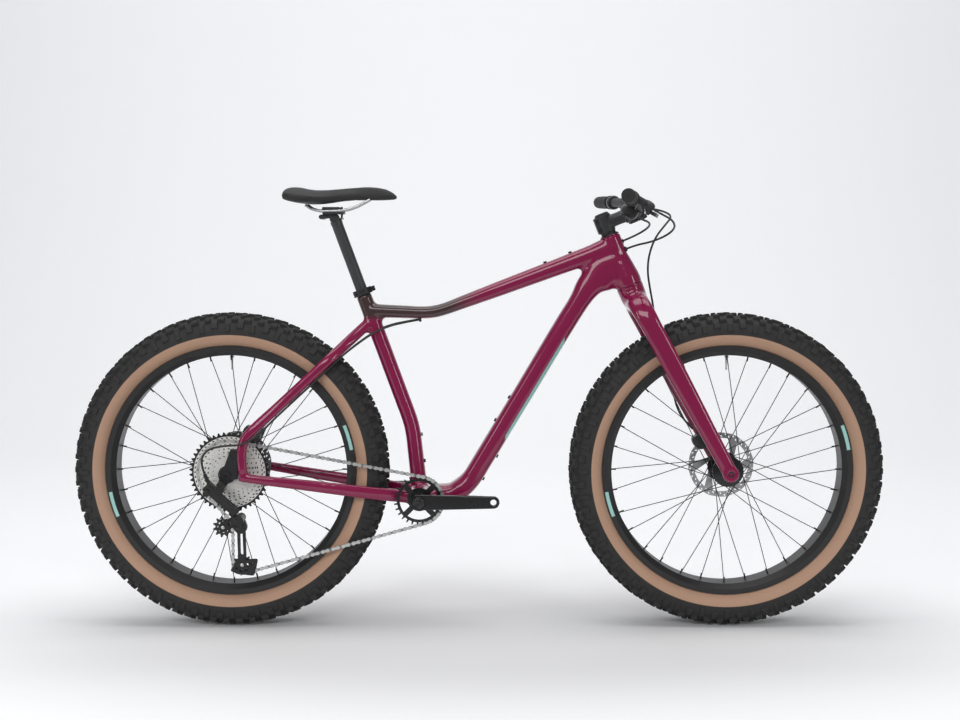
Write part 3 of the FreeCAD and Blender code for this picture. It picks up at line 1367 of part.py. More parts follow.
front_mount = Part.makeBox(30, 12, 20, Vector(68, front_rotor_face + 9, -38))
front_caliper = caliper(front_rotor_face, front_mount)
front_caliper.Placement = caliper_place(front_axle, front_caliper_turn)
doc.recompute()
fork_shape = doc.getObject("fork").Shape
keep(feature("front_brake_caliper", front_caliper.cut(fork_shape)), "front_brake_caliper")
rear_mount = Part.makeBox(34, 16, 26, Vector(66, rear_rotor_face + 9, -26))
rear_caliper = caliper(rear_rotor_face, rear_mount)
rear_caliper.Placement = caliper_place(rear_axle, rear_caliper_turn)
keep(feature("rear_brake_caliper", rear_caliper.cut(seatstay_blocks[1]).cut(left_dropout.Shape)),
    "rear_brake_caliper")


# Seatpost, clamp, rails and saddle

post_top = collar_point + seat_up * size.post_showing
keep(turned("seatpost", [
    (-size.post_length, size.seatpost_radius - size.post_wall), (-size.post_length, size.seatpost_radius),
    (-14, size.seatpost_radius), (-4, size.seatpost_radius + 1), (0, size.seatpost_radius - 3),
    (0, 3), (-10, 3), (-10, size.seatpost_radius - size.post_wall)],
    post_top, Rotation(seat_up, ACROSS, Vector(0, 0, 0), "XYZ")), "seatpost")

rail_plane = post_top.z + size.rail_height
saddle_back = post_top.x - size.saddle_setback
saddle_base = post_top.z + size.saddle_lift
half_rails = size.rail_spacing / 2
clamp_block = Part.makeBox(50, size.rail_spacing - 2 * size.rail_radius - 2, size.rail_height + 3,
                           Vector(post_top.x - 34, -half_rails + size.rail_radius + 1, post_top.z - 3))
upper_jaw = Part.makeBox(44, size.rail_spacing + 10, 7, Vector(post_top.x - 30, -half_rails - 5,
    rail_plane))
lower_jaw = Part.makeBox(38, size.rail_spacing + 10, 6, Vector(post_top.x - 27, -half_rails - 5,
    rail_plane - 6))
jaw_bolt = Part.makeCylinder(3.5, 34, Vector(post_top.x - 36, 0, post_top.z - 3), seat_up)
post_solid = Part.makeCylinder(size.seatpost_radius + 1, 60, post_top - seat_up * 60, seat_up)
saddle_grip = clamp_block.multiFuse([upper_jaw, lower_jaw, jaw_bolt]).cut(post_solid)


def rail(sign):
    across = sign * half_rails
    front_in = sign * (half_rails - 9)
    back_up = saddle_base + size.rail_radius + 1
    return rod("saddle rail", [
        (saddle_back + 55, across * 1.25, back_up - 6), (saddle_back + 66, across * 1.1, rail_plane + 6),
        (saddle_back + 86, across, rail_plane), (saddle_back + 146, across, rail_plane + 1.5),
        (saddle_back + 172, front_in + sign * 5, rail_plane + 9), (saddle_back + 206, front_in,
        saddle_base + 11)],
        size.rail_radius)


rails = [rail(-1), rail(1)]
for piece in rails:
    saddle_grip = saddle_grip.cut(piece)
keep(feature("saddle_clamp", saddle_grip), "saddle_clamp")
keep(feature("saddle_rails", Part.makeCompound(rails)), "saddle_rails")


def saddle_section(along, half, crown, edge, base):
    """A crowned section: an arc over the top, rolled sides and a flat underside."""
    x = saddle_back + along
    tuck = half * 0.86
    top = saddle_base + crown
    rim_height = saddle_base + edge
    low = saddle_base + base
    left = Vector(x, half, rim_height)
    right = Vector(x, -half, rim_height)
    return Part.Wire([
        Part.Arc(left, Vector(x, 0, top), right).toShape(),
        Part.Arc(right, Vector(x, -half * 0.98, (rim_height + low) / 2), Vector(x, -tuck, low)).toShape(),
        Part.LineSegment(Vector(x, -tuck, low), Vector(x, tuck, low)).toShape(),
        Part.Arc(Vector(x, tuck, low), Vector(x, half * 0.98, (rim_height + low) / 2), left).toShape()])


half_seat = size.saddle_width / 2
tall = size.saddle_height
saddle_rows = [
    (0, 0.62, 0.82, 0.60, 0.34), (10, 0.84, 0.98, 0.62, 0.24), (32, 0.99, 1.0, 0.56, 0.12), (62, 1.0, 0.83,
    0.46, 0.06),
    (100, 0.78, 0.78, 0.40, 0.10), (140, 0.46, 0.84, 0.46, 0.26), (190, 0.28, 0.91, 0.56, 0.34),
    (236, 0.25, 0.90, 0.58, 0.34), (260, 0.22, 0.72, 0.52, 0.34), (271, 0.15, 0.54, 0.44, 0.34),
]
last_row = saddle_rows[-1][0]
saddle = Part.makeLoft([
    saddle_section(along / last_row * size.saddle_length, half_seat * wide, tall * crown, tall * edge,
    tall * base)
    for along, wide, crown, edge, base in saddle_rows], True, False)
for piece in rails:
    saddle = saddle.cut(piece)
keep(feature("saddle", saddle), "saddle")


# Rear derailleur: mount, two links, knuckle, cage and two pulleys
# Local frame at the upper pivots: x down the links, y across the bike, z along their pins.

LINKED = Rotation(ACROSS, size.link_angle)
SWUNG = LINKED * Rotation(Vector(0, 0, 1), size.link_swing)
outer_link_y = -(rear_drop_half + size.dropout_thickness + 26)
inner_link_y = outer_link_y + size.link_spacing
half_link = size.link_height / 2
eye = size.pin_radius + size.running_gap


def link(name, across):
    end = size.link_width / 2 + 1
    half = size.link_width / 2
    points = [(-end, -half), (size.link_length + end, -half), (size.link_length + end, half), (-end, half)]
    return keep(plate(name, points, -half_link, half_link, link_root + ACROSS * across, SWUNG,
                      ((0, 0, eye), (size.link_length, 0, eye)), 3.5), name)


link("derailleur_outer_link", outer_link_y)
link("derailleur_inner_link", inner_link_y)


def pins_at(along, shift, low, high):
    return [Part.makeCylinder(size.pin_radius, high - low, Vector(along, across + shift, low))
            for across in (outer_link_y, inner_link_y)]


cable_stop = Vector(-14, outer_link_y + 10, half_link + size.side_gap + 4)
stop_heading = Vector(-0.92, 0, 0.39)
stop_length = 16.0


def derailleur_mount():
    top = half_link + size.side_gap
    lug = Part.makeBox(34, size.link_spacing + 12, 6, Vector(-9, outer_link_y - 6, top))
    arm = Part.makeBox(12, 12, 8, Vector(-18, outer_link_y + 4, top))
    barrel = Part.makeCylinder(4.5, stop_length, cable_stop, stop_heading)
    at_hanger = hanger - link_root
    x = at_hanger.dot(link_along)
    z = at_hanger.dot(link_pin)
    face = -(rear_drop_half + size.dropout_thickness)
    boss = Part.makeCylinder(10.5, face - outer_link_y + 6, Vector(x, outer_link_y - 6, z), ACROSS)
    block = lug.multiFuse([arm, barrel, boss] + pins_at(0, 0, -half_link, top + 1))
    block.Placement = Placement(link_root, LINKED)
    return block


keep(feature("derailleur_mount", derailleur_mount()), "derailleur_mount")
pivot_from_root = cage_pivot - link_root
pivot_x = pivot_from_root.dot(link_along)
pivot_z = pivot_from_root.dot(link_pin)
cage_outer_face = engaged_y - size.cage_gap / 2 - size.cage_plate
knuckle_face = cage_outer_face - size.side_gap


def derailleur_knuckle():
    top = -half_link - size.side_gap
    outer = outer_link_y + link_shift
    lug = Part.makeBox(24, size.link_spacing + 10, 6, Vector(link_reach - 7, outer - 5, top - 6))
    barrel = Part.makeCylinder(size.cage_pivot_radius, knuckle_face - outer + 4, Vector(pivot_x, outer - 4,
        pivot_z), ACROSS)
    pivot = Part.makeCylinder(4, size.cage_plate + size.side_gap + 1.5, Vector(pivot_x, knuckle_face - 1,
        pivot_z), ACROSS)
    block = lug.multiFuse([barrel, pivot] + pins_at(link_reach, link_shift, top - 1, half_link))
    block.Placement = Placement(link_root, LINKED)
    return block


keep(feature("derailleur_knuckle", derailleur_knuckle()), "derailleur_knuckle")


def derailleur_cage():
    """Two plates on the pulley bolts; the outer plate turns on the knuckle's pivot."""
    wide = 9.0
    outer_low = cage_outer_face
    inner_low = engaged_y + size.cage_gap / 2
    plates = []
    for low, with_pivot in ((outer_low, True), (inner_low, False)):
        arm = slab(guide_at, tension_at, wide, low, size.cage_plate)
        if with_pivot:
            arm = arm.fuse(slab(cage_pivot, guide_at, wide, low, size.cage_plate))
            arm = arm.cut(Part.makeCylinder(4 + size.running_gap, 30, cage_pivot + ACROSS * (low - 10),
                ACROSS))
        plates.append(arm)
    bolts = []
    for centre in (guide_at, tension_at):
        bolts.append(Part.makeCylinder(size.pin_radius, size.cage_gap + 2 * size.cage_plate,
                                       centre + ACROSS * outer_low, ACROSS))
    return keep(feature("derailleur_cage", plates[0].multiFuse(plates[1:] + bolts)), "derailleur_cage")


def slab(first, last, half, low, thickness):
    """A flat strap with round ends between two points of the chain's plane."""
    run = last - first
    strap = Part.makeBox(run.Length, thickness, 2 * half, Vector(0, low, -half))
    strap.Placement = Placement(first, Rotation(run, ACROSS, Vector(0, 0, 0), "XYZ"))
    ends = [Part.makeCylinder(half, thickness, point + ACROSS * low, ACROSS) for point in (first, last)]
    return strap.multiFuse(ends)


derailleur_cage()
for name, centre, phase in (("guide_pulley", guide_at, wheel_phases[2]), ("tension_pulley", tension_at,
    wheel_phases[1])):
    teeth = int(size.pulley_teeth)
    wheel = toothed(teeth, phase % (2 * math.pi / teeth), size.ring_thickness, eye, engaged_y, centre)
    hub_ring = Part.makeCylinder(9, size.cage_gap - 2 * size.side_gap,
                                 centre + ACROSS * (engaged_y - size.cage_gap / 2 + size.side_gap), ACROSS)
    hub_ring = hub_ring.cut(Part.makeCylinder(eye, 40, centre + ACROSS * (engaged_y - 20), ACROSS))
    keep(feature(name, wheel.fuse(hub_ring)), name)


# Bolts: cage bosses on the frame, pinch bolts on the stem and collar


def bolt(point, outward):
    head = Part.makeCylinder(size.bolt_radius, size.bolt_height, point, outward)
    socket = Part.makeCylinder(size.bolt_radius * 0.5, size.bolt_height * 0.6,
                               point + Vector(outward).normalize() * (size.bolt_height * 0.4), outward)
    return head.cut(socket)


def boss_pair(start, along, outward, lift, flare=0.0):
    """Two bolts on one side of a tube; the second stands further out where the tube flares."""
    run = Vector(along).normalize()
    out = Vector(outward).normalize()
    first = start + out * lift
    return [bolt(first, out), bolt(first + run * size.boss_spacing + out * flare, out)]


down_along = (down_high - down_low).normalize()
down_out = Vector(-down_along.z, 0, down_along.x)
seat_front = Vector(seat_low.z, 0, -seat_low.x)
top_along = Vector(top_run).normalize()
top_out = Vector(-top_along.z, 0, top_along.x)
down_half = size.down_tube_depth / 2
frame_bolts = boss_pair(down_low + down_along * 198, down_along, down_out, down_half)
frame_bolts += boss_pair(down_low + down_along * 61, down_along, down_out * -1, down_half + 0.6)
frame_bolts += boss_pair(bracket + seat_low * 82, seat_low, seat_front, size.seat_tube_depth / 2 + 0.6)
frame_bolts += boss_pair(top_knee + top_run * 0.635, top_along, top_out, size.top_tube_depth / 2 + 2.1, 1.4)
collar_ear = SEATED.multVec(Vector(size.seat_tube_depth / 2 + 7, -8.5, size.collar_height / 2))
frame_bolts.append(bolt(collar_point + collar_ear, ACROSS * -1))
keep(feature("frame_bolts", Part.makeCompound(frame_bolts)), "frame_bolts")

steering_bolts = []
for height in (-size.stem_height / 4, size.stem_height / 4):
    spot = on_steerer(stem_middle + height, -size.stem_clamp_radius + 1.5, -15)
    steering_bolts.append(bolt(spot, ACROSS * -1))
for height in (-bolt_rise, bolt_rise):
    for across in (-bolt_out, bolt_out):
        spot = on_steerer(stem_middle + height, size.stem_length + lug_face, across)
        steering_bolts.append(bolt(spot, steer_forward))
keep(feature("steering_bolts", Part.makeCompound(steering_bolts)), "steering_bolts")


# Hoses and housings, each whole along its route



def on_lever(forward, out, up, sign=-1):
    """A point beside the right or left brake lever, in the perch's own directions."""
    point = lever_centre + lever_forward * forward + bar_out * out + lever_axis * up
    return Vector(point.x, -sign * point.y, point.z)


def far(points, sign):
    return [Vector(point[0], sign * point[1], point[2]) for point in points]


hose_end = -44.3
front_hose = rod("front brake hose", [
    on_lever(30, hose_end, -4, 1), on_lever(36, hose_end - 26, -5, 1), (424, 156, 1001), (458, 134, 992),
    (470, 100, 980),
    (450, 70, 960), (424, 52, 930), (408, 46, 888), (406, 54, 846), (414, 68, 806), (424, 88, 766), (432,
    103, 720),
    (448, 107, 668), (466, 107, 610), (477, 104, 562), (482, 88, 520), (498, 68, 486), (520.5, 60, 464)],
    size.hose_radius)
keep(feature("front_brake_hose", front_hose), "front_brake_hose")
port_gap = math.sqrt(size.head_top_radius ** 2 - (7 - size.hose_radius) ** 2) + 0.2
rear_hose_bar = rod("rear brake hose at the bar", [
    on_lever(30, hose_end, -4), on_lever(33, hose_end - 26, -3), (414, -138, 984), (446, -102, 970), (458,
    -60, 952),
    (442, -24, 934), (408, -8, 919), on_steerer(86, port_gap + 24, -7), on_steerer(86, port_gap, -7)],
    size.hose_radius)
shift_bar = rod("shift housing at the bar", [
    on_lever(4, pod_in - 17.3, 27), on_lever(5, pod_in - 44, 27), (372, -110, 972), (398, -72, 964), (398,
    -30, 952),
    on_steerer(106, port_gap + 34, 6), on_steerer(106, port_gap, 7)],
    size.hose_radius)
keep(feature("bar_cables", Part.makeCompound([rear_hose_bar, shift_bar])), "bar_cables")
under_stay = size.seatstay_depth / 2 + size.hose_radius + 0.4
top_under = [(-140, 10, 735.2), (-176, 16, 729), (-212, 24, 721), (-250, 32, 706)]
along_stay = [on_seatstay(share, across, under_stay) for share, across in (
    (0.2, 42.0), (0.33, stay_outer - 5), (0.5, stay_outer + 1), (0.68, stay_outer + 7), (0.8,
    stay_outer + 14))]
stop_end = link_root + LINKED.multVec(cable_stop + stop_heading * (stop_length + 0.3))
stop_out = LINKED.multVec(stop_heading).normalize()
shift_frame = rod("shift housing at the rear", far(top_under + along_stay, -1) + [
    Vector(-513, -112, 471), Vector(-552, -121, 449), Vector(-590, -126, 449), Vector(-630, -126, 441),
    stop_end + stop_out * 32, stop_end],
    size.hose_radius)
caliper_end = rear_axle + direction(rear_caliper_turn) * 96.3 + ACROSS * (rear_rotor_face - 8)
caliper_out = direction(rear_caliper_turn)
brake_frame = rod("rear brake hose at the rear", far(top_under + along_stay[:3], 1) + [
    on_seatstay(0.64, stay_outer - 8, under_stay), on_seatstay(0.79, stay_outer - 5, 4),
    caliper_end + caliper_out * 22,
    caliper_end], size.hose_radius)
keep(feature("frame_cables", Part.makeCompound([shift_frame, brake_frame])), "frame_cables")


# Check every object, then write one file for each piece

doc.recompute()
for item in doc.Objects:
    if "Invalid" in item.State or "Error" in item.State:
        raise RuntimeError("%s did not build: %s" % (item.Label, item.State))
for node in nodes:
    if node.Shape.isNull() or not node.Shape.isValid():
        raise RuntimeError("%s has no valid shape" % node.Label)
os.makedirs("parts", exist_ok=True)
for node in nodes:
    node.Shape.exportStep("parts/%s.step" % node.Label)
print("%d pieces written" % len(nodes))
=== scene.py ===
import bmesh
import bpy
import json
import math
from mathutils import Matrix, Vector


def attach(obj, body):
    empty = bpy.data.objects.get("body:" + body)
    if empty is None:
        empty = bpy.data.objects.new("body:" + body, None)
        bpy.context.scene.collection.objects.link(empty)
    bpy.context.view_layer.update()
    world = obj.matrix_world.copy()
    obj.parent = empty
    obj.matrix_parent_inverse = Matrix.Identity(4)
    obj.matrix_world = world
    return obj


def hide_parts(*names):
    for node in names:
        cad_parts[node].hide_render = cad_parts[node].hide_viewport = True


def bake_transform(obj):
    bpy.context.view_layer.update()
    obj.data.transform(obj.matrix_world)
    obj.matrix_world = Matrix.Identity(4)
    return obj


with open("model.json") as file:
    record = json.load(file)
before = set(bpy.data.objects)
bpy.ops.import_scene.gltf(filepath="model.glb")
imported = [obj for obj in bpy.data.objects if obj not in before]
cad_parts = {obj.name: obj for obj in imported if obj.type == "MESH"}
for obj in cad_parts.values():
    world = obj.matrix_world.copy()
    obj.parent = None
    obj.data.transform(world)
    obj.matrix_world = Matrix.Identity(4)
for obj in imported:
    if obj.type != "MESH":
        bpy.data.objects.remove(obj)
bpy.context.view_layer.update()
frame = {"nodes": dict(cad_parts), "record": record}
bodies = frame["record"]["behaviour"]["bodies"]


# Frame: moulded tubes bonded into one hollow shell, sanded at the joints and painted in gloss
# raspberry that fades to a smoky brown over the seat cluster and the back of the top tube.

def settled(piece):
    """Give a piece the mesh that its modifiers make, and take the modifiers off."""
    graph = bpy.context.evaluated_depsgraph_get()
    mesh = bpy.data.meshes.new_from_object(piece.evaluated_get(graph))
    piece.modifiers.clear()
    piece.data = mesh
    return piece


def new_piece(name, mesh):
    piece = bpy.data.objects.new(name, mesh)
    bpy.context.scene.collection.objects.link(piece)
    return piece


def piece_of(name, shape):
    """A new piece with the faces of a bmesh, which is freed."""
    mesh = bpy.data.meshes.new(name)
    shape.to_mesh(mesh)
    shape.free()
    return new_piece(name, mesh)


def moulded(name, nodes, grain, rounds, swell=0, fillet=0):
    """One rounded casting over the CAD solids: edges eased, joints filleted."""
    shape = bmesh.new()
    for node in nodes:
        shape.from_mesh(frame["nodes"][node].data)
    bmesh.ops.remove_doubles(shape, verts=shape.verts, dist=1e-5)
    piece = piece_of(name, shape)
    for spread in (fillet, -fillet) if fillet else (0,):
        skin = piece.modifiers.new("skin", "REMESH")
        skin.mode = "VOXEL"
        skin.voxel_size = grain
        skin.use_smooth_shade = True
        grow = piece.modifiers.new("grow", "DISPLACE")
        grow.strength = spread
        grow.mid_level = 0
    ease = piece.modifiers.new("ease", "SMOOTH")
    ease.factor = 0.5
    ease.iterations = rounds
    if swell:
        fill = piece.modifiers.new("fill", "DISPLACE")
        fill.strength = swell
        fill.mid_level = 0
    return settled(piece)


def added(piece, material, body):
    """Dress a piece and let it ride a body."""
    piece.data.materials.clear()
    piece.data.materials.append(material)
    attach(piece, body)


def fitted(piece, material, slot, *nodes):
    """Dress a piece and let it stand for its CAD nodes on their own body."""
    body = [body for body, held in bodies.items() if nodes[0] in held][0]
    added(piece, material, body)
    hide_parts(*nodes)


def wired(tree, kind, inputs, **settings):
    """A new node with its settings; each input is joined to a socket or takes a plain value."""
    node = tree.nodes.new(kind)
    for label, value in settings.items():
        setattr(node, label, value)
    for label, value in inputs.items():
        if isinstance(value, bpy.types.NodeSocket):
            tree.links.new(value, node.inputs[label])
        else:
            node.inputs[label].default_value = value
    return node.outputs


def maths(tree, operation, *values, kind="Math"):
    """The result of one maths node over sockets or plain values."""
    outputs = wired(tree, "ShaderNode" + kind, dict(enumerate(values)), operation=operation)
    return outputs["Value"] if operation in ("LENGTH", "DOT_PRODUCT") else outputs[0]


def new_group(name, kind, inputs, outputs):
    """A node group with its sockets, by label and kind."""
    group = bpy.data.node_groups.new(name, kind)
    for way, sockets in (("INPUT", inputs), ("OUTPUT", outputs)):
        for label, sort in sockets.items():
            group.interface.new_socket(name=label, in_out=way, socket_type="NodeSocket" + sort)
    return group


def surface_group():
    """Fine unevenness that every finish shares: tone, gloss and a shallow relief."""
    inputs = {"Tone": "Color", "Spread": "Float", "Scale": "Float", "Low": "Float", "High": "Float",
              "Relief": "Float"}
    outputs = {"Color": "Color", "Roughness": "Float", "Normal": "Vector"}
    group = new_group("surface_unevenness", "ShaderNodeTree", inputs, outputs)
    entry = group.nodes.new("NodeGroupInput").outputs
    spot = wired(group, "ShaderNodeTexCoord", {})["Object"]
    fine = wired(group, "ShaderNodeTexNoise", {"Vector": spot, "Scale": entry["Scale"], "Detail": 4})["Fac"]
    broad = wired(group, "ShaderNodeTexNoise", {"Vector": spot, "Scale": 14, "Detail": 3})["Fac"]
    both = maths(group, "ADD", fine, broad)
    span = {"Value": both, "From Min": 0.6, "From Max": 1.4, "To Min": entry["Low"], "To Max": entry["High"]}
    gloss = wired(group, "ShaderNodeMapRange", span)
    centred = maths(group, "SUBTRACT", both, 1)
    shade = maths(group, "MULTIPLY_ADD", centred, entry["Spread"], 1)
    toned = wired(group, "ShaderNodeVectorMath", {0: entry["Tone"], "Scale": shade}, operation="SCALE")
    relief = wired(group, "ShaderNodeBump", {"Height": fine, "Strength": entry["Relief"], "Distance": 0.0004})
    wired(group, "NodeGroupOutput", {"Color": toned[0], "Roughness": gloss["Result"],
                                     "Normal": relief["Normal"]})
    return group


unevenness = surface_group()


def finish(name, tone, spread, scale, low, high, relief, metallic=0, coat=0):
    """A whole finish: its tone, how uneven it is, and how metallic or lacquered."""
    material = bpy.data.materials.new(name)
    material.use_nodes = True
    tree = material.node_tree
    shader = tree.nodes["Principled BSDF"].inputs
    shader["Metallic"].default_value = metallic
    shader["Coat Weight"].default_value = coat
    shader["Coat Roughness"].default_value = 0.06
    shader["Specular IOR Level"].default_value = 0.5 - 0.4 * coat
    inputs = {"Tone": (*tone, 1), "Spread": spread, "Scale": scale, "Low": low, "High": high,
              "Relief": relief}
    uneven = wired(tree, "ShaderNodeGroup", inputs, node_tree=unevenness)
    tree.links.new(uneven["Color"], shader["Base Color"])
    tree.links.new(uneven["Roughness"], shader["Roughness"])
    tree.links.new(uneven["Normal"], shader["Normal"])
    return material


def ramp_between(tree, source, start, end):
    """0 before the start value, 1 after the end value, smooth between."""
    inputs = {"Value": source, "From Min": start, "From Max": end}
    return wired(tree, "ShaderNodeMapRange", inputs, interpolation_type="SMOOTHSTEP")["Result"]


def mixed(tree, share, below, above):
    """The colour below where the share is 0, the colour above where it is 1."""
    ends = [(*value, 1) if isinstance(value, tuple) else value for value in (below, above)]
    return wired(tree, "ShaderNodeMix", {"Factor": share, 6: ends[0], 7: ends[1]}, data_type="RGBA")[2]


def opened(material, label):
    """A finish's tree, one input of its shader, what feeds that now, and the place on the piece."""
    tree = material.node_tree
    socket = tree.nodes["Principled BSDF"].inputs[label]
    return tree, socket, socket.links[0].from_socket, wired(tree, "ShaderNodeTexCoord", {})["Object"]


RASPBERRY = (0.235, 0.0075, 0.06)
SMOKE = (0.058, 0.03, 0.031)
MINT = (0.36, 0.66, 0.62)
DOWN_TUBE_FRONT = Vector((0.8587, 0, -0.5125))
STRIPE_POINT = Vector((0.193, 0, 0.666))
MOULDED_TUBES = ("head_tube", "top_tube", "down_tube", "seat_tube", "bottom_bracket_shell", "chainstays",
                 "seatstays")


def frame_paint():
    """Raspberry with the smoky fade, and one narrow pale stripe down the front tube."""
    material = finish("frame_paint", RASPBERRY, 0.1, 900, 0.22, 0.3, 0.02, coat=1)
    tree, colour, base, spot = opened(material, "Base Color")
    split = wired(tree, "ShaderNodeSeparateXYZ", {0: spot})
    behind = ramp_between(tree, split["X"], 0.02, -0.08)
    above = ramp_between(tree, split["Z"], 0.728, 0.748)
    painted = mixed(tree, maths(tree, "MULTIPLY", behind, above), base, SMOKE)
    ahead = maths(tree, "DOT_PRODUCT", spot, DOWN_TUBE_FRONT, kind="VectorMath")
    outer_edge = DOWN_TUBE_FRONT.dot(STRIPE_POINT)
    low_side = ramp_between(tree, ahead, outer_edge - 0.0066, outer_edge - 0.0056)
    top_end = ramp_between(tree, split["X"], 0.204, 0.2)
    low_end = ramp_between(tree, split["X"], 0.06, 0.064)
    stripe = maths(tree, "MULTIPLY", maths(tree, "MULTIPLY", top_end, low_end), low_side)
    tree.links.new(mixed(tree, stripe, painted, MINT), colour)
    return material


shell = moulded("frame_shell", MOULDED_TUBES, 0.0026, 10, 0.0004, 0.005)
fitted(shell, frame_paint(), "frame_paint", *MOULDED_TUBES)


# Dropouts, rear axle and seat collar: machined alloy, bead blasted and anodised black.
# The plates are bolted to the ends of the stays.

black_alloy = finish("black_alloy", (0.022, 0.022, 0.024), 0.35, 700, 0.34, 0.46, 0.06, metallic=0.35)
satin_black = finish("satin_black", (0.024, 0.024, 0.026), 0.3, 500, 0.32, 0.44, 0.04)
bar_black = finish("bar_black", (0.014, 0.014, 0.015), 0.3, 500, 0.52, 0.62, 0.04)


def dressed(material, *nodes):
    """Keep CAD nodes whose shape is right, in a better finish."""
    for node in nodes:
        mesh = frame["nodes"][node].data
        mesh.materials.clear()
        mesh.materials.append(material)


HANGER_EDGE = ((27, -8), (27, 62), (11, 62), (6, 48), (-4, 22), (-12, 10), (-14.5, -2), (-18, -15),
               (-19, -23), (-14, -29), (-5, -29), (3, -21), (10, -12))
HANGER_BEVEL = 1.6
ORIGIN = Vector((0, 0, 0))
UPRIGHT = Matrix.Rotation(math.pi / 2, 4, "X")
REAR = Vector((-0.5906, 0, 0.376))
WHEELS = {"front": Vector((0.5906, 0, 0.376)), "rear": REAR}


def banded(shape, rings, looped):
    """Faces between neighbouring rings of points, which are loops or open lines."""
    for here, there in zip(rings, rings[1:]):
        for number in range(len(here) if looped else len(here) - 1):
            after = (number + 1) % len(here)
            shape.faces.new((here[number], here[after], there[after], there[number]))


def skinned(name, rows):
    """A piece with faces between neighbouring loops of points and over both end loops."""
    shape = bmesh.new()
    rings = [[shape.verts.new(spot) for spot in row] for row in rows]
    banded(shape, rings, True)
    shape.faces.new(rings[0])
    shape.faces.new(rings[-1])
    bmesh.ops.recalc_face_normals(shape, faces=shape.faces)
    return piece_of(name, shape)


def hanger_plate(side, name):
    """One slim plate from the strut round the axle to the gear hanger, at its CAD solid's depth."""
    depths = [corner.co.y for corner in frame["nodes"]["dropouts"].data.vertices if corner.co.y * side > 0]
    low = min(depths)
    high = max(depths)
    eased = HANGER_BEVEL * 0.001
    rows = []
    for depth, shrink in ((low, HANGER_BEVEL), (low + eased, 0), (high - eased, 0), (high, HANGER_BEVEL)):
        row = []
        for right, up in HANGER_EDGE:
            pull = 1 - shrink / math.hypot(right, up)
            row.append(REAR + Vector((right * pull * 0.001, depth, up * pull * 0.001)))
        rows.append(row)
    return skinned(name, rows)


fitted(hanger_plate(-1, "hanger_right"), black_alloy, "black_metal", "dropouts")
added(hanger_plate(1, "hanger_left"), black_alloy, "frame")
fitted(moulded("seat_clamp_ring", ["seat_collar"], 0.0008, 4), black_alloy, "black_metal", "seat_collar")
dressed(black_alloy, "rear_axle", "frame_bolts", "bottom_bracket_bearings")


# Fork: one moulding with a round crown and two flat blades, raked forward to the axle bosses,
# in the same paint as the frame.

fork_paint = finish("fork_paint", RASPBERRY, 0.1, 900, 0.22, 0.3, 0.02, coat=1)
fork = moulded("fork_shell", ["fork"], 0.0024, 10, 0.0006, 0.007)
CROWN_TOP = 0.806
CROWN_FOOT = 0.69
crown = fork.vertex_groups.new(name="crown")
for corner in fork.data.vertices:
    below = min(1, max(0, (CROWN_TOP - corner.co.z) / 0.014))
    above = min(1, max(0, (corner.co.z - CROWN_FOOT) / 0.04))
    crown.add([corner.index], below * above, "REPLACE")
blend = fork.modifiers.new("blend", "SMOOTH")
blend.factor = 0.5
blend.iterations = 70
blend.vertex_group = "crown"
settled(fork)
fork.vertex_groups.clear()
fitted(fork, fork_paint, "frame_paint", "fork")
dressed(black_alloy, "front_axle", "headset_spacers", "steering_bolts")
dressed(fork_paint, "headset_bearings")


# Tyres: a tan cotton sidewall under a black tread of separate rubber blocks, in four staggered
# rows round the crown and two rows of lugs that run down each shoulder.

TYRE_SIDE = ((37, 292.5), (37.2, 300), (46, 303.6), (53, 311.5), (56, 321), (56.6, 331),
             (55, 342), (50.5, 352), (42.5, 359.8), (30, 365.4), (15, 368.4), (0, 369.3))


def lathed(name, profile, centre, steps, closed=False):
    """A form turned about an axis along Y: (across, radius) points in millimetres."""
    shape = bmesh.new()
    rings = []
    for step in range(steps):
        turn = math.tau * step / steps
        ring = []
        for across, radius in profile:
            spot = Vector((radius * math.cos(turn), across, radius * math.sin(turn))) * 0.001
            ring.append(shape.verts.new(centre + spot))
        rings.append(ring)
    banded(shape, rings + rings[:1], closed)
    bmesh.ops.remove_doubles(shape, verts=shape.verts, dist=1e-6)
    bmesh.ops.recalc_face_normals(shape, faces=shape.faces)
    for face in shape.faces:
        face.smooth = True
    return piece_of(name, shape)


def copies_tree():
    """A pattern set on every point of a mesh, turned as the point's own angles say."""
    inputs = {"Geometry": "Geometry", "Pattern": "Object"}
    tree = new_group("copies_on_points", "GeometryNodeTree", inputs, {"Geometry": "Geometry"})
    entry = tree.nodes.new("NodeGroupInput").outputs
    turn = wired(tree, "GeometryNodeInputNamedAttribute", {"Name": "turn"}, data_type="FLOAT_VECTOR")
    pattern = wired(tree, "GeometryNodeObjectInfo", {"Object": entry["Pattern"]})
    inputs = {"Points": entry["Geometry"], "Instance": pattern["Geometry"], "Rotation": turn["Attribute"]}
    copies = wired(tree, "GeometryNodeInstanceOnPoints", inputs)
    solid = wired(tree, "GeometryNodeRealizeInstances", {"Geometry": copies["Instances"]})
    wired(tree, "NodeGroupOutput", {"Geometry": solid["Geometry"]})
    return tree


copies_on_points = copies_tree()


def copied(name, places, pattern):
    """A pattern repeated at every place, a middle and its angles, as one plain mesh."""
    mesh = bpy.data.meshes.new(name)
    mesh.from_pydata([middle for middle, angles in places], [], [])
    turns = mesh.attributes.new("turn", "FLOAT_VECTOR", "POINT")
    for spot, (middle, angles) in zip(turns.data, places):
        spot.vector = angles
    host = new_piece(name, mesh)
    rule = host.modifiers.new("copies", "NODES")
    rule.node_group = copies_on_points
    rule[copies_on_points.interface.items_tree["Pattern"].identifier] = pattern
    return settled(host)


def ringed(name, pattern, count, centre):
    """A pattern repeated round a wheel by equal steps."""
    return copied(name, [(centre, (0, -math.tau * n / count, 0)) for n in range(count)], pattern)


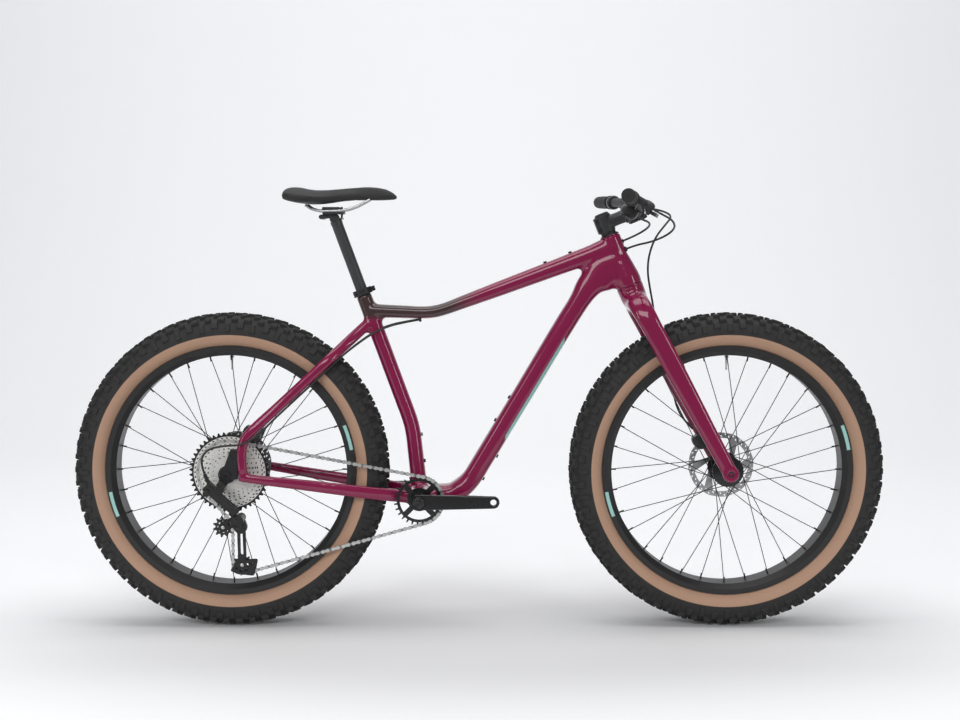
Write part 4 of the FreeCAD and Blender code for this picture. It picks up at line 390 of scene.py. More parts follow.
TREAD_TAPER = 0.78
TREAD_SINK = 0.004


def tread_block(shape, radius, height, across, lean, wide, long, turn):
    """One rubber block standing on the casing, its top edges eased."""
    made = bmesh.ops.create_cube(shape, size=1)["verts"]
    for corner in made:
        top = corner.co.x > 0
        share = TREAD_TAPER if top else 1
        depth = height if top else -TREAD_SINK
        corner.co = Vector((depth, corner.co.y * wide * share, corner.co.z * long * share))
    edges = {edge for corner in made for edge in corner.link_edges if all(end.co.x > 0 for end in edge.verts)}
    eased = bmesh.ops.bevel(shape, geom=list(edges), offset=0.0011, segments=1, affect="EDGES")
    corners = {corner for face in eased["faces"] for corner in face.verts}
    corners |= {corner for corner in made if corner.is_valid}
    seat = Matrix.Rotation(-turn, 4, "Y") @ Matrix.Translation((radius, across, 0))
    seat = seat @ Matrix.Rotation(lean, 4, "Z")
    for corner in corners:
        corner.co = seat @ corner.co


TREAD_UNITS = 36
TREAD_BLOCKS = ((0.369, 0.0068, 0.0085, 0.03, 0.0135, 0.0175, 0.00),
                (0.3688, 0.0068, 0.006, 0.03, 0.01, 0.013, 0.5),
                (0.3664, 0.007, 0.0255, 0.16, 0.014, 0.0155, 0.22),
                (0.366, 0.007, 0.027, 0.18, 0.012, 0.018, 0.72),
                (0.358, 0.0088, 0.0425, 0.55, 0.0145, 0.0195, 0.02),
                (0.358, 0.0088, 0.0425, 0.55, 0.0125, 0.016, 0.52),
                (0.3465, 0.0052, 0.052, 1.05, 0.0165, 0.0185, 0.27),
                (0.342, 0.0036, 0.054, 1.28, 0.0235, 0.013, 0.77))


def tread_pattern():
    """The blocks of one tread unit, at the front of the tyre, about its own centre."""
    shape = bmesh.new()
    unit = math.tau / TREAD_UNITS
    for side in (-1, 1):
        shift = 0 if side > 0 else 0.25
        for radius, height, across, lean, wide, long, step in TREAD_BLOCKS:
            turn = (shift + step) * unit
            tread_block(shape, radius, height, side * across, side * lean, wide, long, turn)
    return piece_of("tread_pattern", shape)


COTTON_DARK = (0.395, 0.23, 0.148)
COTTON_PALE = (0.545, 0.348, 0.245)


def tyre_finish(name, centre):
    """Black rubber over the crown and bead, tan cotton casing between."""
    material = finish(name, (0.019, 0.0185, 0.018), 0.4, 420, 0.62, 0.8, 0.18)
    tree, colour, base, spot = opened(material, "Base Color")
    centred = wired(tree, "ShaderNodeMapping", {"Vector": spot, "Location": -centre})
    flat = maths(tree, "MULTIPLY", centred[0], (1, 0, 1), kind="VectorMath")
    radius = maths(tree, "LENGTH", flat, kind="VectorMath")
    inner = ramp_between(tree, radius, 0.2975, 0.2985)
    outer = ramp_between(tree, radius, 0.326, 0.3242)
    weave = wired(tree, "ShaderNodeTexNoise", {"Vector": spot, "Scale": 700, "Detail": 3})
    cotton = mixed(tree, weave["Fac"], COTTON_DARK, COTTON_PALE)
    tree.links.new(mixed(tree, maths(tree, "MULTIPLY", inner, outer), base, cotton), colour)
    return material


pattern = tread_pattern()
tread_rubber = finish("tread_rubber", (0.021, 0.0205, 0.02), 0.5, 500, 0.66, 0.84, 0.25)
casing = list(TYRE_SIDE) + [(-across, radius) for across, radius in reversed(TYRE_SIDE[:-1])]
inside = [(-across * 0.93, radius - 3.2 if radius > 302 else radius) for across, radius in reversed(casing)]
for wheel, centre in WHEELS.items():
    body = lathed(wheel + "_tyre_casing", casing + [(-a, r) for a, r in inside], centre, 180, closed=True)
    fitted(body, tyre_finish(wheel + "_tyre_rubber", centre), "tyre", wheel + "_tyre")
    blocks = ringed(wheel + "_tyre_tread", pattern, TREAD_UNITS, centre)
    added(blocks, tread_rubber, wheel + "_wheel")
bpy.data.objects.remove(pattern)


# Rims, hubs and spokes: wide black alloy hoops laced to black hubs with black steel spokes, each
# held in the rim by a short nipple. Plain pale bars lie on both sides of each rim.

rim_black = finish("rim_black", (0.017, 0.017, 0.018), 0.3, 260, 0.36, 0.48, 0.05)
hub_black = finish("hub_black", (0.014, 0.014, 0.015), 0.3, 400, 0.2, 0.3, 0.03, metallic=0.2)
spoke_black = finish("spoke_black", (0.03, 0.03, 0.032), 0.3, 900, 0.3, 0.4, 0.03, metallic=0.5)
bar_mint = finish("bar_mint", MINT, 0.1, 500, 0.4, 0.5, 0.02)
NIPPLE_RADIUS = 0.269


def nipple_pattern():
    """Nipples of four neighbouring spokes, two for each side of the hub."""
    shape = bmesh.new()
    for number, across in enumerate((-10.3, 8.1, -8.1, 10.3)):
        turn = number * math.pi / 16
        seat = Matrix.Rotation(-turn, 4, "Y") @ Matrix.Translation((NIPPLE_RADIUS, across * 0.001, 0))
        seat = seat @ Matrix.Rotation(math.pi / 2, 4, "Y")
        bmesh.ops.create_cone(shape, cap_ends=True, segments=8, radius1=0.0021, radius2=0.0019,
                              depth=0.0125, matrix=seat)
    return piece_of("nipple_pattern", shape)


def curved_bar(name, centre, low, high, first, last, face, depth):
    """A thin bar along a wheel between two radii and two angles, in millimetres and degrees."""
    rows = []
    for step in range(13):
        turn = math.radians(first + (last - first) * step / 12)
        row = []
        for radius, side in ((low, face), (high, face), (high, face + depth), (low, face + depth)):
            row.append(centre + Vector((radius * math.cos(turn), side, radius * math.sin(turn))) * 0.001)
        rows.append(row)
    return skinned(name, rows)


RIM_BAR_RADII = (287.5, 295.5)
RIM_BAR_SWEEP = 12
RIM_FACE = 40.05
RIM_BAR_DEPTH = 0.25
nipples = nipple_pattern()
for wheel, centre in WHEELS.items():
    dressed(rim_black, wheel + "_rim")
    dressed(spoke_black, wheel + "_spokes")
    dressed(hub_black, wheel + "_hub")
    ends = ringed(wheel + "_nipples", nipples, 8, centre)
    added(ends, spoke_black, wheel + "_wheel")
    for number, first in enumerate((10, 190)):
        for side in (-1, 1):
            name = "%s_rim_bar_%d_%s" % (wheel, number, "right" if side < 0 else "left")
            bar = curved_bar(name, centre, *RIM_BAR_RADII, first, first + RIM_BAR_SWEEP, side * RIM_FACE,
                             side * RIM_BAR_DEPTH)
            added(bar, bar_mint, wheel + "_wheel")
bpy.data.objects.remove(nipples)


# Valves: a threaded brass stem, nickel plated, with a lock nut seated on the rim.
# Its narrow core ends in a small rounded tip.

valve_nickel = finish("valve_nickel", (0.55, 0.54, 0.52), 0.15, 900, 0.22, 0.34, 0.05, metallic=1)
VALVE = ((2.9, 0), (2.9, 3), (5.2, 3.2), (5.2, 6), (2.9, 6.2), (2.9, 20), (2.3, 22), (2.3, 34),
         (1.2, 36), (0, 36))
VALVE_SEAT = 0.274
for wheel, centre in WHEELS.items():
    stem = lathed(wheel + "_valve", [(height, radius) for radius, height in VALVE], ORIGIN, 14)
    stem.data.transform(Matrix.Rotation(-math.pi / 2, 4, "X"))
    stem.data.transform(Matrix.Translation(centre + Vector((0, 0, VALVE_SEAT))))
    added(stem, valve_nickel, wheel + "_wheel")


# Brake rotors: stamped stainless rings with two rows of vent slots, carried on six swept arms.
# The outer edge is gently waved.

ROTOR_RADIUS = 79.3
ROTOR_PLANES = {"front": 60.7, "rear": 84.2}
rotor_steel = finish("rotor_steel", (0.5, 0.5, 0.51), 0.18, 1200, 0.24, 0.36, 0.08, metallic=1)


def polar(reach, turn):
    return reach * math.cos(turn), reach * math.sin(turn)


def round_points(radius, count, centre=(0, 0)):
    spots = [polar(radius, math.tau * n / count) for n in range(count)]
    return [(centre[0] + right, centre[1] + up) for right, up in spots]


def curve_mesh(name, curve):
    """The plain mesh of a curve."""
    drawn = new_piece(name, curve)
    graph = bpy.context.evaluated_depsgraph_get()
    mesh = bpy.data.meshes.new_from_object(drawn.evaluated_get(graph))
    bpy.data.objects.remove(drawn)
    return mesh


def punched(name, outlines, thickness, centre, across, ease=0):
    """A flat plate square to Y: the first outline is its edge and the rest are holes, in millimetres."""
    curve = bpy.data.curves.new(name, "CURVE")
    curve.dimensions = "2D"
    curve.fill_mode = "BOTH"
    curve.extrude = thickness * 0.0005 - ease * 0.001
    curve.bevel_depth = ease * 0.001
    curve.bevel_resolution = 1
    curve.offset = -ease * 0.001
    for outline in outlines:
        line = curve.splines.new("POLY")
        line.points.add(len(outline) - 1)
        for spot, (right, up) in zip(line.points, outline):
            spot.co = (right * 0.001, up * 0.001, 0, 1)
        line.use_cyclic_u = True
    mesh = curve_mesh(name + "_outline", curve)
    shape = bmesh.new()
    shape.from_mesh(mesh)
    bmesh.ops.remove_doubles(shape, verts=shape.verts, dist=1e-6)
    shape.transform(Matrix.Translation(centre + Vector((0, across * 0.001, 0))) @ UPRIGHT)
    bmesh.ops.recalc_face_normals(shape, faces=shape.faces)
    shape.to_mesh(mesh)
    shape.free()
    mesh.name = name
    return new_piece(name, mesh)


def slot_points(radius, turn, wide, long, lean):
    """A round-ended slot at a radius, leaning across the ring."""
    points = []
    for n in range(12):
        swing = math.tau * n / 12
        x = math.cos(swing) * wide / 2 + (long - wide) / 2 * (1 if math.cos(swing) > 0 else -1)
        y = math.sin(swing) * wide / 2
        a = turn + lean
        points.append((radius * math.cos(turn) + x * math.cos(a) - y * math.sin(a),
                       radius * math.sin(turn) + x * math.sin(a) + y * math.cos(a)))
    return points


def rotor_windows():
    """Six windows between the swept arms of a rotor's carrier."""
    windows = []
    for n in range(6):
        start = n * math.pi / 3
        outer = [(66, start + math.radians(14 + k * 6.6)) for k in range(7)]
        inner = [(27, start + math.radians(22 - k * 6 - 24)) for k in range(5)]
        windows.append([polar(radius, turn) for radius, turn in outer + inner])
    return windows


for wheel, centre in WHEELS.items():
    edge = []
    for n in range(144):
        turn = math.tau * n / 144
        edge.append(polar(ROTOR_RADIUS * (1 + 0.006 * math.sin(12 * turn)), turn))
    vents = [slot_points(75.5 if n % 2 else 70.5, math.tau * n / 48, 2.6, 5.6, 0.7) for n in range(48)]
    outlines = [edge, round_points(17.5, 40)] + rotor_windows() + vents
    disc = punched(wheel + "_rotor_disc", outlines, 1.9, centre, ROTOR_PLANES[wheel])
    fitted(disc, rotor_steel, "steel", wheel + "_rotor")


# Cranks, chainring and spindle: forged alloy arms, anodised black and eased all round, with a
# narrow-wide steel ring fixed straight on the right arm.

crank_black = finish("crank_black", (0.012, 0.012, 0.013), 0.35, 300, 0.22, 0.32, 0.03, metallic=0.2,
                     coat=0.3)
bare_silver = finish("bare_silver", (0.56, 0.56, 0.57), 0.14, 900, 0.25, 0.38, 0.06, metallic=1)
BRACKET = Vector((-0.14167, 0, 0.3118))
CRANK_LENGTH = 175
PITCH = 12.7
TOOTH_ROOT = 4.1
TOOTH_STEPS = ((-1, -TOOTH_ROOT), (-0.72, -3.6), (-0.5, -1.6), (-0.3, 1.5), (-0.14, 2.8), (0.14, 2.8),
               (0.3, 1.5), (0.5, -1.6), (0.72, -3.6))


def pitch_radius(teeth):
    return PITCH / (2 * math.sin(math.pi / teeth))


def toothed_edge(teeth, phase):
    """The outline of a sprocket: rounded teeth with a roller seat between each two."""
    points = []
    for n in range(teeth):
        middle = phase + math.tau * (n + 0.5) / teeth
        for share, rise in TOOTH_STEPS:
            points.append(polar(pitch_radius(teeth) + rise, middle + math.pi / teeth * share))
    return points


def hull_of(*circles):
    """The outline of a band stretched round circles, (right, up, radius) each."""
    spots = []
    for right, up, radius in circles:
        for turn in (math.radians(4 * n) for n in range(90)):
            spots.append((right + radius * math.cos(turn), up + radius * math.sin(turn)))
    spots.sort()
    edge = []
    for line in (spots, spots[::-1]):
        half = []
        for spot in line:
            while len(half) > 1 and ((half[-1][0] - half[-2][0]) * (spot[1] - half[-2][1])
                                     <= (half[-1][1] - half[-2][1]) * (spot[0] - half[-2][0])):
                half.pop()
            half.append(spot)
        edge += half[:-1]
    return edge


CRANK_CAP = ((110.4, 0), (110.4, 3.2), (109.2, 3.6), (109.2, 5.4), (110.8, 6.2), (110.8, 9.6),
             (109.3, 10.4), (109.3, 12.2), (110.2, 12.8), (110.2, 14.4), (108.4, 15), (108.4, 0))
for name, way, across in (("right", 1, -102.5), ("left", -1, 102.5)):
    edge = hull_of((0, 0, 18.4), (way * CRANK_LENGTH, 0, 14.3))
    holes = [round_points(15, 36), round_points(7.14, 28, centre=(way * CRANK_LENGTH, 0))]
    arm = punched("crank_" + name, [edge] + holes, 12.8, BRACKET, across, ease=2.4)
    fitted(arm, crank_black, "black_metal", "crank_arm_" + name)
    cap = lathed("crank_cap_" + name, [(-way * depth, radius) for depth, radius in CRANK_CAP], BRACKET, 48)
    added(cap, crank_black, "crankset")
dressed(crank_black, "crank_spindle", "chainring")


# Cassette and chain: stamped steel cogs, nickel plated, on a light carrier, and a plated roller
# chain of inner and outer links. The largest cog is black alloy with a plated face.

chain_steel = finish("chain_steel", (0.56, 0.56, 0.55), 0.3, 1400, 0.28, 0.42, 0.08, metallic=0.7)
link_dark = finish("link_dark", (0.24, 0.24, 0.24), 0.3, 1400, 0.34, 0.48, 0.08, metallic=0.7)
cog_nickel = finish("cog_nickel", (0.86, 0.85, 0.82), 0.2, 900, 0.36, 0.5, 0.08, metallic=0.45)
cog_dark = finish("cog_dark", (0.035, 0.035, 0.037), 0.25, 900, 0.28, 0.38, 0.05, metallic=0.6)
COGS = (46, 37, 32, 28, 24, 21, 19, 17, 15, 13, 11)
FIRST_COG = -56
COG_STEP = 3.74
COG_SLOT = (3, 5.4, 1.2)


def tip_angle(node, centre, across, teeth):
    """Where the teeth of a CAD sprocket point, within one tooth's step."""
    spots = []
    for corner in frame["nodes"][node].data.vertices:
        arm = corner.co - centre
        if abs(arm.y - across * 0.001) < 0.001:
            spots.append((math.hypot(arm.x, arm.z), math.atan2(arm.z, arm.x)))
    reach = max(spots)[0]
    turns = [turn * teeth for radius, turn in spots if radius > reach - 0.0004]
    return math.atan2(sum(map(math.sin, turns)), sum(map(math.cos, turns))) / teeth


def cog(number, teeth):
    """One stamped cog: teeth, a bore on the carrier and rings of lightening holes."""
    across = FIRST_COG - COG_STEP * number
    phase = tip_angle("cassette", REAR, across, teeth) - math.pi / teeth
    root = pitch_radius(teeth) - TOOTH_ROOT
    holes = [round_points(17.4, 32)]
    if 20 < teeth < COGS[0]:
        for start, inset, count in ((0, 3.6, teeth), (0.5, 8.4, teeth // 2), (0, 13, teeth // 2)):
            for n in range(count):
                holes.append(slot_points(root - inset, math.tau * (n + start) / count, *COG_SLOT))
    return punched("cog_%d" % teeth, [toothed_edge(teeth, phase)] + holes, 1.6, REAR, across)


cogs = [cog(number, teeth) for number, teeth in enumerate(COGS)]
fitted(cogs[0], cog_dark, "black_metal", "cassette")
for number, plate in enumerate(cogs[1:], 1):
    added(plate, cog_nickel, "cassette_body")
    # Dark discs between the cogs: spacers, and also painted shade, since they reach almost to each cog's
    # teeth so that its holes and tooth gaps show dark.
    edges = [round_points(pitch_radius(COGS[number]) - 5.4, 60), round_points(17.6, 32)]
    spacer_and_shade_disc = punched("cog_spacer_%d" % COGS[number], edges, 1, REAR,
                     FIRST_COG - COG_STEP * number + 1.7)
    added(spacer_and_shade_disc, cog_dark, "cassette_body")
face_root = pitch_radius(COGS[0]) - 8
face_edges = [round_points(face_root, 92), round_points(66, 72)]
for row in range(2):
    for n in range(46):
        turn = math.tau * (n + row / 2) / 46
        face_edges.append(slot_points(face_root - 4.6 * row - 3.2, turn, *COG_SLOT))
big_face = punched("cog_46_face", face_edges, 0.5, REAR, -57.2)
added(big_face, cog_nickel, "cassette_body")
CARRIER = ((-97, 18.2), (-97, 20.5), (-80, 21.5), (-66, 32), (-60.6, 40), (-60.6, 18.2))
carrier = lathed("cog_carrier", CARRIER, REAR, 72, closed=True)
added(carrier, cog_dark, "cassette_body")
dressed(cog_dark, "freehub_body")


def link_places():
    """Middle, heading and width of every link of the CAD chain, each link being one loose island."""
    shape = bmesh.new()
    shape.from_mesh(frame["nodes"]["chain"].data)
    bmesh.ops.remove_doubles(shape, verts=shape.verts, dist=1e-5)
    waiting = set(shape.verts)
    places = []
    while waiting:
        island = []
        front = [waiting.pop()]
        while front:
            corner = front.pop()
            island.append(corner.co.copy())
            for edge in corner.link_edges:
                other = edge.other_vert(corner)
                if other in waiting:
                    waiting.remove(other)
                    front.append(other)
        lows = [min(spot[axis] for spot in island) for axis in range(3)]
        highs = [max(spot[axis] for spot in island) for axis in range(3)]
        middle = (Vector(lows) + Vector(highs)) / 2
        arms = [spot - middle for spot in island]
        slope = 2 * sum(arm.x * arm.z for arm in arms)
        turn = math.atan2(slope, sum(arm.x ** 2 - arm.z ** 2 for arm in arms)) / 2
        run = Vector((math.cos(turn), 0, math.sin(turn)))
        drift = sum(arm.dot(run) * arm.y for arm in arms) / sum(arm.dot(run) ** 2 for arm in arms)
        run = (run + Vector((0, drift, 0))).normalized()
        side = Vector((0, 1, 0)) - run * run.y
        heading = Matrix((run, side.normalized(), run.cross(side).normalized())).transposed().to_euler()
        places.append((middle, heading, max(abs(arm.dot(side)) for arm in arms)))
    shape.free()
    return places


def chain_links(name, chosen, plate_side, barrel, reach):
    """All links of one kind: two waisted side plates each, and a round barrel at both ends."""
    half = PITCH / 2
    edge = []
    for turn in (math.radians(swing) for swing in range(-115, 116, 23)):
        edge.append((half + 4.3 * math.cos(turn), 4.3 * math.sin(turn)))
    edge += [(0, 2.4)] + [(-right, -up) for right, up in edge] + [(0, -2.4)]
    shape = bmesh.new()
    for side in (-plate_side, plate_side):
        plate = punched("link_plate", [edge], 0.7, ORIGIN, side)
        shape.from_mesh(plate.data)
        bpy.data.objects.remove(plate)
    for end in (-half, half):
        seat = Matrix.Translation((end * 0.001, 0, 0)) @ UPRIGHT
        bmesh.ops.create_cone(shape, cap_ends=True, segments=14, radius1=barrel * 0.001,
                              radius2=barrel * 0.001, depth=reach * 0.001, matrix=seat)
    pattern = piece_of("link_pattern", shape)
    links = copied(name, chosen, pattern)
    bpy.data.objects.remove(pattern)
    return links


places = link_places()
widths = [width for middle, heading, width in places]
wide = (min(widths) + max(widths)) / 2
inner = [(middle, heading) for middle, heading, width in places if width < wide]
outer = [(middle, heading) for middle, heading, width in places if width >= wide]
inner_links = chain_links("chain_inner_links", inner, 1.5, 3.85, 2.3)
fitted(inner_links, link_dark, "steel", "chain")
outer_links = chain_links("chain_outer_links", outer, 2.3, 1.7, 5.5)
added(outer_links, chain_steel, "frame")


# Derailleur: forged and moulded pieces on steel pins, a sprung cage with stamped plates and two
# resin jockey wheels. A small grooved wheel leads the cable, and a round cover closes the clutch.

derailleur_black = finish("derailleur_black", (0.018, 0.018, 0.019), 0.35, 500, 0.28, 0.42, 0.05,
                          metallic=0.25)
resin_black = finish("resin_black", (0.022, 0.022, 0.022), 0.35, 600, 0.42, 0.56, 0.08)
for node, grain, swell in (("derailleur_mount", 0.0009, 0), ("derailleur_outer_link", 0.0007, 0.0018),
                           ("derailleur_inner_link", 0.0007, 0.0014), ("derailleur_knuckle", 0.0009, 0)):
    fitted(moulded(node + "_casting", [node], grain, 4, swell), derailleur_black, "black_metal", node)
GUIDE = Vector((-0.60686, 0, 0.24534))
TENSION = Vector((-0.56257, 0, 0.15501))
CAGE_PIVOT = Vector((-0.5649, 0, 0.2676))
JOCKEY_PLANE = -59.74
JOCKEY_TEETH = 11
JOCKEY_BORE = 4.2
CAGE_OUTER = -66
CAGE_INNER = -53.5
CAGE_THICKNESS = 1.9
CAGE_BOLT = ((-69, 0), (-69, 3.6), (-67.8, 4.6), (-66.2, 4.6), (-66.2, 3.9), (-52.4, 3.9), (-52.4, 0))
for name, centre in (("guide", GUIDE), ("tension", TENSION)):
    phase = tip_angle(name + "_pulley", centre, JOCKEY_PLANE, JOCKEY_TEETH) - math.pi / JOCKEY_TEETH
    holes = [round_points(2.9, 12, centre=spot) for spot in round_points(11.4, 8)]
    holes.append(round_points(JOCKEY_BORE, 20))
    edge = toothed_edge(JOCKEY_TEETH, phase)
    wheel = punched(name + "_wheel_resin", [edge] + holes, 2.2, centre, JOCKEY_PLANE)
    fitted(wheel, resin_black, "black_plastic", name + "_pulley")
    bolt = lathed("cage_bolt_" + name, CAGE_BOLT, centre, 24)
    added(bolt, bare_silver, "cage")
FOOT_CORNERS = ((-23, -12, 4), (31, 8, 4.5), (24, -20, 5.5), (-10, -18, 4), (-9, 6, 5))
FOOT_HOLES = ((13.5, 0.5, 4.6), (11, -13, 4.4), (-3, -13.5, 3.6), (-13.5, -8.5, 3.4), (22.5, 4, 2.6))


def cage_plate(name, across):
    """A stamped cage plate round the pivot and both wheels, with a long window."""
    guide = (GUIDE - CAGE_PIVOT).xz * 1000
    tension = (TENSION - CAGE_PIVOT).xz * 1000
    window = hull_of((*(tension * 0.26), 3.4), (*(tension * 0.76), 4))
    lower = [hull_of((0, 0, 9.5), (*tension, 9)), window, round_points(JOCKEY_BORE, 20, centre=tension)]
    corners = [(tension.x + right, tension.y + up, radius) for right, up, radius in FOOT_CORNERS]
    foot = [hull_of(*corners), round_points(JOCKEY_BORE, 20, centre=tension)]
    for right, up, radius in FOOT_HOLES:
        foot.append(round_points(radius, 18, centre=(tension.x + right, tension.y + up)))
    gap = hull_of((*(guide * 0.416), 3.4), (*(guide * 0.65), 3.4))
    upper = [hull_of((0, 0, 11), (*guide, 11.5)), round_points(JOCKEY_BORE, 20, centre=guide), gap]
    plates = []
    for part, outlines, thinner in (("lower", lower, 0), ("upper", upper, 0.3), ("foot", foot, 0.5)):
        plate = punched(name + "_" + part, outlines, CAGE_THICKNESS - thinner, CAGE_PIVOT, across)
        added(plate, derailleur_black, "cage")
        plates.append(plate)
    return plates


outer_plates = cage_plate("cage_outer", CAGE_OUTER)
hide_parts("derailleur_cage")
cage_plate("cage_inner", CAGE_INNER)
CLUTCH_EDGE = hull_of((-567.5, 260.5, 17), (-562, 250, 15.5))
housing = punched("clutch_housing", [CLUTCH_EDGE], 19, ORIGIN, -83, ease=3)
added(housing, derailleur_black, "knuckle")
TURNED = (
    ("cable_wheel", "outer_link", Vector((-0.631, 0, 0.34)), 32,
     ((-147.5, 0), (-147.5, 3), (-146, 3.6), (-146, 6.4), (-147, 7.2), (-146.2, 8.2), (-140, 8.2),
      (-140, 0))),
    ("clutch_cover", "knuckle", Vector((-0.5655, 0, 0.257)), 48,
     ((-95.5, 0), (-95.5, 4), (-94.6, 5), (-94.6, 9.6), (-95.4, 10.4), (-95.4, 13), (-92.2, 13.8),
      (-92.2, 0))),
    ("hanger_bolt", "frame", Vector((-0.5985, 0, 0.359)), 36,
     ((-146.5, 0), (-146.5, 3), (-144, 3.2), (-144, 4.4), (-146.5, 5), (-146.5, 7.4), (-145.2, 8.4),
      (-141.6, 8.4), (-141.6, 0))),
    ("cage_boss", "cage", CAGE_PIVOT, 36,
     ((-72, 0), (-72, 9), (-70.5, 10.5), (-65.2, 10.5), (-65.2, 0))))
for name, body, centre, steps, profile in TURNED:
    added(lathed(name, profile, centre, steps), derailleur_black, body)


# Cockpit: a forged stem with a bolted face plate, clamped on the steerer, and a butted riser bar.
# The grips are soft rubber with fine ribs.

fitted(moulded("stem_forging", ["stem"], 0.001, 5), satin_black, "black_metal", "stem")
fitted(moulded("stem_cap", ["stem_faceplate"], 0.0008, 4), satin_black, "black_metal", "stem_faceplate")
dressed(bar_black, "handlebar")


def grip_rubber():
    """Soft rubber with fine ribs round the grip."""
    material = finish("grip_rubber", (0.017, 0.017, 0.017), 0.4, 600, 0.6, 0.78, 0.1)
    tree, slope, grain, spot = opened(material, "Normal")
    ribs = wired(tree, "ShaderNodeTexWave", {"Vector": spot, "Scale": 95}, bands_direction="Y")
    inputs = {"Height": ribs["Fac"], "Distance": 0.001, "Strength": 0.6, "Normal": grain}
    relief = wired(tree, "ShaderNodeBump", inputs)
    tree.links.new(relief["Normal"], slope)
    return material


dressed(grip_rubber(), "grips")


# Brake levers and shifter: cast alloy bodies clamped on the bar, with blades that swing on steel
# pins. The shifter's body and its two short levers are moulded plastic.

CASTINGS = (("brake_perches", 0.001, 5, 0.0026), ("shifter_body", 0.0009, 5, 0.002),
            ("brake_lever_right", 0.0008, 5, 0), ("brake_lever_left", 0.0008, 5, 0),
            ("shift_thumb_lever", 0.0007, 4, 0), ("shift_release_lever", 0.0006, 4, 0))
for node, grain, rounds, swell in CASTINGS:
    slot = "black_plastic" if node.startswith("shift") else "black_metal"
    fitted(moulded(node + "_casting", [node], grain, rounds, swell), satin_black, slot, node)


# Brake calipers: cast two-piece bodies that straddle the rotors, bolted on the left fork blade
# and on the left stay.

for node in ("front_brake_caliper", "rear_brake_caliper"):
    fitted(moulded(node + "_casting", [node], 0.0009, 5), satin_black, "black_metal", node)


# Hoses and housings: smooth black outer casing along one even line from fitting to fitting.
# Points by the levers and the steerer are measured from those parts.

hose_black = finish("hose_black", (0.016, 0.016, 0.016), 0.25, 800, 0.36, 0.48, 0.04)
LEVER = Vector((338.42, -236, 1016.29))
LEVER_OUT = Vector((-0.1495, -0.98854, 0.0207))
LEVER_FORWARD = Vector((0.8535, -0.1396, -0.502))
LEVER_DOWN = Vector((-0.4992, 0.0574, -0.8646))
CROWN_RACE = Vector((357.705, 0, 813.622))
STEER_UP = Vector((-0.374607, 0, 0.927184))
STEER_FORWARD = Vector((0.927184, 0, 0.374607))
HOSE_RADIUS = 2.5
HEAD_PORTS = ((86, -7), (106, 7))


def on_lever(forward, out, down, side=-1):
    """A point by a brake lever, in millimetres: ahead of the bar, outboard and down."""
    spot = LEVER + LEVER_FORWARD * forward + LEVER_OUT * out + LEVER_DOWN * down
    return Vector((spot.x, spot.y * -side, spot.z))


def on_steerer(height, forward, across):
    """A point by the steerer, in millimetres: up from the crown race, ahead of the axis and across."""
    return CROWN_RACE + STEER_UP * height + STEER_FORWARD * forward + Vector((0, across, 0))


def hose(name, route):
    """A round tube on one smooth line with the route's points as its control points."""
    curve = bpy.data.curves.new(name, "CURVE")
    curve.dimensions = "3D"
    curve.bevel_depth = HOSE_RADIUS * 0.001
    curve.bevel_resolution = 3
    curve.resolution_u = 8
    curve.use_fill_caps = True
    line = curve.splines.new("NURBS")
    line.points.add(len(route) - 1)
    for spot, place in zip(line.points, route):
        spot.co = (*(Vector(place) * 0.001), 1)
    line.order_u = 3
    line.use_endpoint_u = True
    mesh = curve_mesh(name + "_line", curve)
    mesh.materials.clear()
    mesh.materials.append(hose_black)
    for face in mesh.polygons:
        face.use_smooth = True
    return new_piece(name, mesh)


front_hose = hose("front_hose", [
    on_lever(30, -44.3, -4, 1), on_lever(36, -70.3, -5, 1), (424, 156, 1001), (458, 134, 992),
    (470, 100, 980), (450, 70, 960), (424, 52, 930), (408, 46, 888), (406, 54, 846), (414, 68, 806),
    (424, 88, 766), (432, 103, 720), (448, 107, 668), (466, 107, 610), (477, 104, 562), (482, 88, 520),
    (498, 68, 486), (520.5, 60, 464)])
fitted(front_hose, hose_black, "black_plastic", "front_brake_hose")
bar_hose = hose("rear_hose_at_bar", [
    on_lever(30, -44.3, -4), on_lever(33, -70.3, -3), (414, -138, 984), (446, -102, 970), (458, -60, 952),
    (442, -24, 934), (408, -8, 919), on_steerer(86, 47.8, -7), on_steerer(86, 23.8, -7)])
bar_housing = hose("shift_housing_at_bar", [
    on_lever(4, -75.3, 27), on_lever(5, -102, 27), (372, -110, 972), (398, -72, 964), (398, -30, 952),
    on_steerer(106, 57.8, 6), on_steerer(106, 23.8, 7)])
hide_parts("bar_cables")
for tube, (height, across) in zip((bar_hose, bar_housing), HEAD_PORTS):
    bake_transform(tube)
TOP_TUBE_RUN = ((-140, 10, 735.2), (-176, 16, 729), (-212, 24, 721), (-250, 32, 706))
rear_housing = hose("rear_shift_housing", [(along, -across, up) for along, across, up in TOP_TUBE_RUN] + [
    (-311.2, -42, 662.1), (-349.3, -69.5, 626.9), (-399.1, -75.5, 580.8), (-451.9, -81.5, 532),
    (-487, -88.5, 499.5), (-513, -112, 471), (-552, -121, 449), (-590, -126, 449), (-630, -126, 441),
    (-648.6, -126, 413.3), (-637.5, -126, 383.3)])
fitted(rear_housing, hose_black, "black_plastic", "frame_cables")
rear_hose = hose("rear_brake_line", list(TOP_TUBE_RUN) + [
    (-311.2, 42, 662.1), (-349.3, 69.5, 626.9), (-399.1, 75.5, 580.8), (-440.2, 66.5, 542.8),
    (-491.3, 69.5, 510), (-542.5, 75.2, 484.1), (-551.4, 75.2, 464)])
added(rear_hose, hose_black, "frame")


# Cable ports: soft rubber grommets pressed into the front of the head tube and under the top tube,
# where the hose and the housing go inside the frame.

port_rubber = finish("port_rubber", (0.02, 0.02, 0.02), 0.3, 700, 0.55, 0.7, 0.1)
GROMMET = ((-3, 2.6), (-3, 6), (0.6, 6.4), (2.2, 5), (2.8, 3.4), (2.6, 2.6))
HEAD_RADIUS = 26


